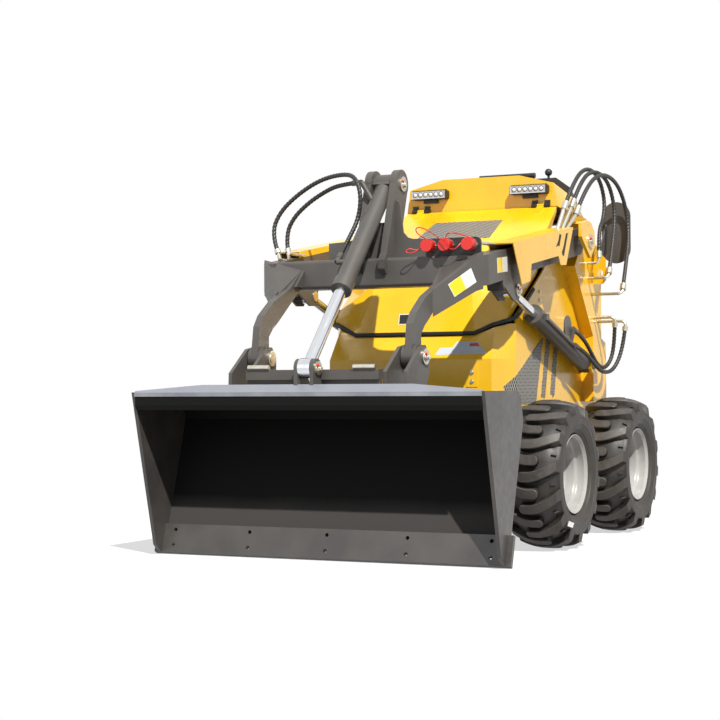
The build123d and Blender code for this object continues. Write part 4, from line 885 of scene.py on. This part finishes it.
def even_steps(line, step):
    """The same line in even steps, with the distance to each point."""
    reach = [0.0]
    for a, b in zip(line, line[1:]):
        reach.append(reach[-1] + (b - a).length)
    count = max(2, round(reach[-1] / step))
    spots = []
    place_on = 0
    for number in range(count + 1):
        want = reach[-1] * number / count
        while place_on < len(line) - 2 and reach[place_on + 1] < want:
            place_on += 1
        share = (want - reach[place_on]) / max(1e-9, reach[place_on + 1] - reach[place_on])
        spots.append(line[place_on].lerp(line[place_on + 1], min(1.0, share)))
    return spots, reach[-1] / count


def square_frames(spots):
    """Each point of a line with two directions square to it, which turn as little as can be."""
    across = None
    frames = []
    for number, spot in enumerate(spots):
        ahead = (spots[min(number + 1, len(spots) - 1)] - spots[max(number - 1, 0)]).normalized()
        if across is None:
            across = ahead.orthogonal().normalized()
        across = (across - ahead * across.dot(ahead)).normalized()
        frames.append((spot, across, ahead.cross(across)))
    return frames


def wound_hose(name, route):
    """A closed tube along a route, with a spiral guard standing up from it."""
    spots, step = even_steps(line_of(route), 0.0024)
    sides = HOSE_SIDES
    corners = []
    for number, (spot, across, other) in enumerate(square_frames(spots)):
        for side in range(sides):
            turn = side / sides
            phase = (number * step / GUARD_PITCH - turn) % 1.0
            band = min(1.0, max(0.0, (0.34 - abs(phase - 0.5)) * 12.0))
            radius = HOSE_DIAMETER / 2 - GUARD_HEIGHT * (1 - band)
            around = math.cos(2 * math.pi * turn) * across + math.sin(2 * math.pi * turn) * other
            corners.append(spot + around * radius)
    faces = []
    for ring in range(len(spots) - 1):
        for side in range(sides):
            a = ring * sides + side
            b = ring * sides + (side + 1) % sides
            faces.append((a, b, b + sides, a + sides))
    faces.append(tuple(reversed(range(sides))))
    faces.append(tuple(range((len(spots) - 1) * sides, len(spots) * sides)))
    mesh = bpy.data.meshes.new(name)
    mesh.from_pydata(corners, [], faces)
    mesh.polygons.foreach_set("use_smooth", [True] * len(mesh.polygons))
    mesh.materials.append(hose_rubber)
    made = bpy.data.objects.new(name, mesh)
    bpy.context.scene.collection.objects.link(made)
    return made, spots


for name, (length, route) in HOSES.items():
    hose, spots = wound_hose(name + "_wound", route)
    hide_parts(name)
    # Each hose's mesh is baked where it is drawn.
    if name.startswith("arm"):
        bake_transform(hose)
    elif name.startswith("lift"):
        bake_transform(hose)
    else:
        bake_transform(hose)

# ------------------------------------------------------------------ coupler collars and caps
# Flat-face quick couplers in zinc plate, closed by ribbed red dust caps of moulded
# polyethylene; a moulded strap in the same red keeps each cap with its coupler.
CAP_PLACES = (0.22, 0.283, 0.366)
CAP_HEIGHT = 1.026
CAP_RIBS = 20
STRAP_RADIUS = 0.0018
STRAP_SIDES = 8
parts = []
for across in CAP_PLACES:
    for number in range(CAP_RIBS):
        rib = started(bpy.ops.mesh.primitive_cube_add, "rib", size=1)
        bpy.ops.object.mode_set(mode="EDIT")
        bpy.ops.transform.resize(value=(0.022, 0.0026, 0.003))
        bpy.ops.transform.translate(value=(0.577, 0, 0.0212))
        bpy.ops.object.mode_set(mode="OBJECT")
        turn = Matrix.Rotation(2 * math.pi * number / CAP_RIBS, 4, "X")
        rib.data.transform(Matrix.Translation((0, across, CAP_HEIGHT)) @ turn)
        parts.append(rib)
ended(joined("cap_ribs", parts), red_cap, "arms")
parts = []
for across in CAP_PLACES:
    collar = started(
        bpy.ops.mesh.primitive_cylinder_add, "collar", vertices=6, radius=0.0205, depth=0.0185
    )
    bpy.ops.object.mode_set(mode="EDIT")
    quarter_turn("Y")
    bpy.ops.transform.translate(value=(0.5495, across, CAP_HEIGHT))
    bpy.ops.mesh.bevel(offset=0.0012, segments=1)
    bpy.ops.object.mode_set(mode="OBJECT")
    parts.append(collar)
ended(joined("coupler_collars", parts), zinc, "arms")
feed = started(
    bpy.ops.mesh.primitive_cylinder_add, "coupler_feed_pipe", vertices=20, radius=0.0065, depth=0.15
)
bpy.ops.object.mode_set(mode="EDIT")
quarter_turn("Y")
bpy.ops.transform.translate(value=(0.455, 0.384, 1.034))
bpy.ops.mesh.faces_shade_smooth()
ended(feed, zinc, "arms")
STRAPS = (
    (
        (0.58, 0.199, 1.022), (0.598, 0.178, 1.002), (0.604, 0.158, 1.0), (0.604, 0.148, 1.008),
        (0.6, 0.158, 1.017), (0.59, 0.175, 1.013), (0.58, 0.19, 1.01),
    ),
    (
        (0.58, 0.215, 1.047), (0.594, 0.19, 1.062), (0.6, 0.182, 1.082), (0.6, 0.2, 1.088),
        (0.6, 0.238, 1.07), (0.604, 0.275, 1.045), (0.606, 0.305, 1.012), (0.606, 0.325, 1.006),
        (0.6, 0.34, 1.02), (0.585, 0.348, 1.036),
    ),
    (
        (0.58, 0.283, 1.047), (0.592, 0.292, 1.062), (0.598, 0.315, 1.064), (0.598, 0.345, 1.056),
        (0.59, 0.372, 1.05), (0.58, 0.384, 1.04),
    ),
)
parts = []
for route in STRAPS:
    rings = []
    for spot, across, other in square_frames(even_steps(line_of(route), 0.003)[0]):
        turns = [2 * math.pi * side / STRAP_SIDES for side in range(STRAP_SIDES)]
        rings.append(
            [spot + (across * math.cos(t) + other * math.sin(t)) * STRAP_RADIUS for t in turns]
        )
    strap = started(
        bpy.ops.mesh.primitive_circle_add, "strap", vertices=STRAP_SIDES, fill_type="NGON"
    )
    drawn_along(strap, rings)
    bpy.ops.mesh.faces_shade_smooth()
    bpy.ops.object.mode_set(mode="OBJECT")
    parts.append(strap)
ended(joined("cap_straps", parts), red_cap, "arms")

# ------------------------------------------------------------------ bucket
# Welded bucket of 6 mm sheet with thick side plates and a bolted cutting edge, powder
# coated. A bent stiffener, welded along its top edge and higher in the middle to hold a
# heap back, is coated pale blue grey as a painted reflection of the sky, and its front lip
# is lighter still as a painted highlight.
bucket_coat, tree = start_material("bucket_inside_powder_coat")
# Dark grey matt coat, painted near-black over the upper two thirds as painted shade inside the
# bucket, and left its own brown grey over the lower third.
place = add(tree, "TexCoord").outputs["Object"]
height = add(tree, "SeparateXYZ", {"Vector": place}).outputs["Z"]
cloud = add(tree, "TexNoise", {"Vector": place, "Scale": 9.0, "Detail": 5.0}).outputs[0]
cloud = add(tree, "MapRange", {0: cloud, 3: -0.012, 4: 0.012}).outputs[0]
height = add(tree, "Math", {0: height, 1: cloud}, operation="ADD").outputs[0]
# 1 below a height, where the coat keeps its own colour; above it the coat is painted near-black as
# painted shade.
below_painted_shade = add(tree, "MapRange", {0: height, 1: 0.2, 2: 0.15}).outputs[0]
tone = add(
    tree,
    "Mix",
    {0: below_painted_shade, 6: linear("#121212"), 7: linear("#3F3D3C")},
    data_type="RGBA",
).outputs[2]
shader = add(
    tree,
    "BsdfPrincipled",
    {"Base Color": tone, "Roughness": 0.75, "Specular IOR Level": 0.12},
)
end_material(tree, shader.outputs[0])
dress(bucket_coat, "bucket_shell")
side_coat = powder_coat("bucket_side_powder_coat", "#393736", "#4A4744", 40.0, 0.40, 0.2)
dress(side_coat, "bucket_sides", "cutting_edge")
# The crest's pale blue grey is a painted reflection of the sky above it.
crest_sky_reflection_coat = powder_coat("bucket_crest_painted_reflection_coat", "#7C808A", "#868A94", 40.0, 0.34, 0.4)
crest_front = [(1089, -611, 541.5), (1089, 611, 541.5)]
crest_top = [(1081, 611, 547.5), (1058, 372, 566), (1058, -372, 566), (1081, -611, 547.5)]
flat_plate("bucket_crest", crest_front + crest_top, (-0.62, 0, -0.78), 5.0, crest_sky_reflection_coat, "bucket")
# The lip is a thin plate in a lighter coat: a painted highlight, so that its forward face looks as lit as
# the crest's slope.
crest_lip = [(1088.2, -611, 529), (1088.2, 611, 529), (1088.2, 611, 541.6), (1088.2, -611, 541.6)]
lip_painted_highlight_coat = powder_coat("bucket_lip_painted_highlight_coat", "#747780", "#9C9FA6", 40.0, 0.3, 0.5)
flat_plate("bucket_crest_lip", crest_lip, (1, 0, 0), 1.4, lip_painted_highlight_coat, "bucket")

# ------------------------------------------------------------------ pin bolts
# Every pivot pin is held by a flanged bolt in its end, zinc plated, and carries a red
# cap over its grease nipple. The same bolts fix the side panels and the clip plate.
PANEL_BOLT = 0.62
cylinder = bpy.ops.mesh.primitive_cylinder_add
washer = started(cylinder, "washer", vertices=24, radius=0.0125, depth=0.0025)
head = started(cylinder, "head", vertices=6, radius=0.0088, depth=0.0075)
bpy.ops.object.mode_set(mode="EDIT")
bpy.ops.transform.translate(value=(0, 0, 0.004))
bpy.ops.mesh.bevel(offset=0.001, segments=1)
bpy.ops.object.mode_set(mode="OBJECT")
bolt = joined("bolt", [washer, head])
cap = started(
    bpy.ops.mesh.primitive_uv_sphere_add, "cap", segments=14, ring_count=8, radius=0.0048
)
bpy.ops.object.mode_set(mode="EDIT")
bpy.ops.mesh.faces_shade_smooth()
bpy.ops.object.mode_set(mode="OBJECT")
sideways = Matrix.Rotation(-math.pi / 2, 4, "X")
PINS = (
    ("bucket", (0.84, 0.327, 0.652), 1, "bucket"),
    ("lift_rod", (0.27, 0.426, 0.885), 1, "arms"),
    ("pivot", (-0.4, 0.47, 1.1), 1, "chassis"),
    ("lift_barrel", (-0.55, 0.43, 0.632), 1, "chassis"),
    ("tilt_rod", (1.033, 0.041, 0.617), 0, "bucket"),
    ("tilt_barrel", (0.43, 0.066, 1.255), 0, "arms"),
    ("panel_high", (-0.14, 0.352, 0.903), 1, "chassis"),
    ("panel_low", (-0.143, 0.352, 0.872), 1, "chassis"),
)
for name, place, mirrored, body in PINS:
    for side in (1, -1) if mirrored else (1,):
        flip = Matrix.Diagonal((1, side, 1, 1))
        word = "_left" if side > 0 else "_right"
        scale = Matrix.Scale(PANEL_BOLT if name.startswith("panel") else 1.0, 4)
        spot = Matrix.Translation(Vector(place) + Vector((-0.004, 0.0008, -0.003)))
        made = copy_at(bolt, "bolt_" + name + word, flip @ spot @ sideways @ scale)
        made.data.materials.append(zinc)
        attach(made, body)
        if not name.startswith("panel"):
            spot = Matrix.Translation(Vector(place) + Vector((0.011, 0.0015, 0.009)))
            made = copy_at(cap, "grease_cap_" + name + word, flip @ spot)
            made.data.materials.append(red_cap)
            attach(made, body)
for number, height in enumerate((0.604, 0.572)):
    spot = Matrix.Translation((0.2525, 0.243, height)) @ Matrix.Rotation(math.pi / 2, 4, "Y")
    made = copy_at(bolt, "clip_bolt_%d" % number, spot @ Matrix.Scale(PANEL_BOLT, 4))
    made.data.materials.append(zinc)
    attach(made, "chassis")
bpy.data.objects.remove(bolt)
bpy.data.objects.remove(cap)

# ------------------------------------------------------------------ decals and plates
# Printed vinyl labels, left blank, on the arm, the nose, the hood and a tyre, and a clip
# plate folded from yellow sheet on the nose.


def vinyl(name, base):
    """Laminated vinyl: an even printed colour under a smooth satin film."""
    made, tree = start_material(name)
    shader = add(
        tree,
        "BsdfPrincipled",
        {"Base Color": linear(base), "Roughness": 0.32, "IOR": 1.5, "Coat Weight": 0.3},
    )
    end_material(tree, shader.outputs[0])
    return made


white_vinyl = vinyl("white_vinyl", "#E4E4E2")
yellow_vinyl = vinyl("warning_yellow_vinyl", "#F2D21A")
pale_vinyl = vinyl("pale_grey_blue_vinyl", "#C3CCDA")
red_vinyl = vinyl("red_vinyl", "#C8322A")
black_vinyl = vinyl("black_vinyl", "#141414")
lay = [
    Vector(corner)
    for corner in (
        (663.1, 326.5, 888.7),
        (598.7, 381.7, 944.3),
        (583.5, 394.7, 898.6),
        (645.3, 341.7, 848.1),
    )
]
face_out = (0.65, 0.76, 0)
flat_plate("arm_front_decal", lay, face_out, 0.5, white_vinyl, "arms")
middle_top = lay[0].lerp(lay[1], 0.53)
middle_low = lay[3].lerp(lay[2], 0.53)
patch = [lay[0].lerp(middle_low, 0.05), middle_top, middle_low, lay[3].lerp(middle_top, 0.05)]
flat_plate("arm_front_decal_patch", patch, face_out, 0.8, yellow_vinyl, "arms")
side_corners = ((466, 422, 984), (372, 422, 994.7), (368.3, 422, 944), (462.4, 422, 933.8))
lay = [Vector(corner) for corner in side_corners]
flat_plate("arm_side_decal", lay, (0, 1, 0), 0.5, white_vinyl, "arms")
middle_top = lay[0].lerp(lay[1], 0.5)
middle_low = lay[3].lerp(lay[2], 0.5)
patch = [lay[0].lerp(lay[2], 0.04), middle_top, middle_low, lay[3].lerp(lay[1], 0.04)]
flat_plate("arm_side_decal_patch", patch, (0, 1, 0), 0.8, yellow_vinyl, "arms")
NOSE_FRONT = 240.7
NOSE_HEIGHT = 665.8
NOSE_SLOPE = 0.593


def on_slope(across, height):
    """A place on the sloping top of the nose."""
    return Vector((NOSE_FRONT - (height - NOSE_HEIGHT) * NOSE_SLOPE, across, height))


slope_out = (0.86, 0, 0.51)
nose_label = [(97.6, 665.8), (110.8, 690.7), (160, 692), (170.7, 713.0), (249, 712), (294, 668)]
flat_plate("nose_label", [on_slope(*p) for p in nose_label], slope_out, 0.5, pale_vinyl, "chassis")
label_band = [(222, 706), (222, 696), (263, 694), (252, 707)]
band_corners = [on_slope(*p) for p in label_band]
flat_plate("nose_label_band", band_corners, slope_out, 0.8, red_vinyl, "chassis")
badge = [(166.6, -71, 813.7), (166.6, -28, 813.7), (181.9, -24, 780.5), (181.9, -67, 780.5)]
badge_edge = [(165.6, -74, 816.2), (165.6, -25, 816.2), (182.9, -21, 778), (182.9, -70, 778)]
flat_plate("hood_badge_edge", badge_edge, (0.91, 0, 0.42), 0.8, white_vinyl, "hood")
flat_plate("hood_badge", badge, (0.91, 0, 0.42), 1.2, black_vinyl, "hood")
clip = [(250, 224, 626), (250, 266, 626), (250, 262, 552), (250, 220, 552)]
flat_plate("nose_clip_plate", clip, (1, 0, 0), 2.0, yellow_coat, "chassis")
tag = [(369, 634.3, 104), (317, 634.3, 93), (333, 634.3, 78), (384, 634.3, 88)]
flat_plate("tyre_tag", tag, (0, 1, 0), 0.6, white_vinyl, "wheel_front_left")
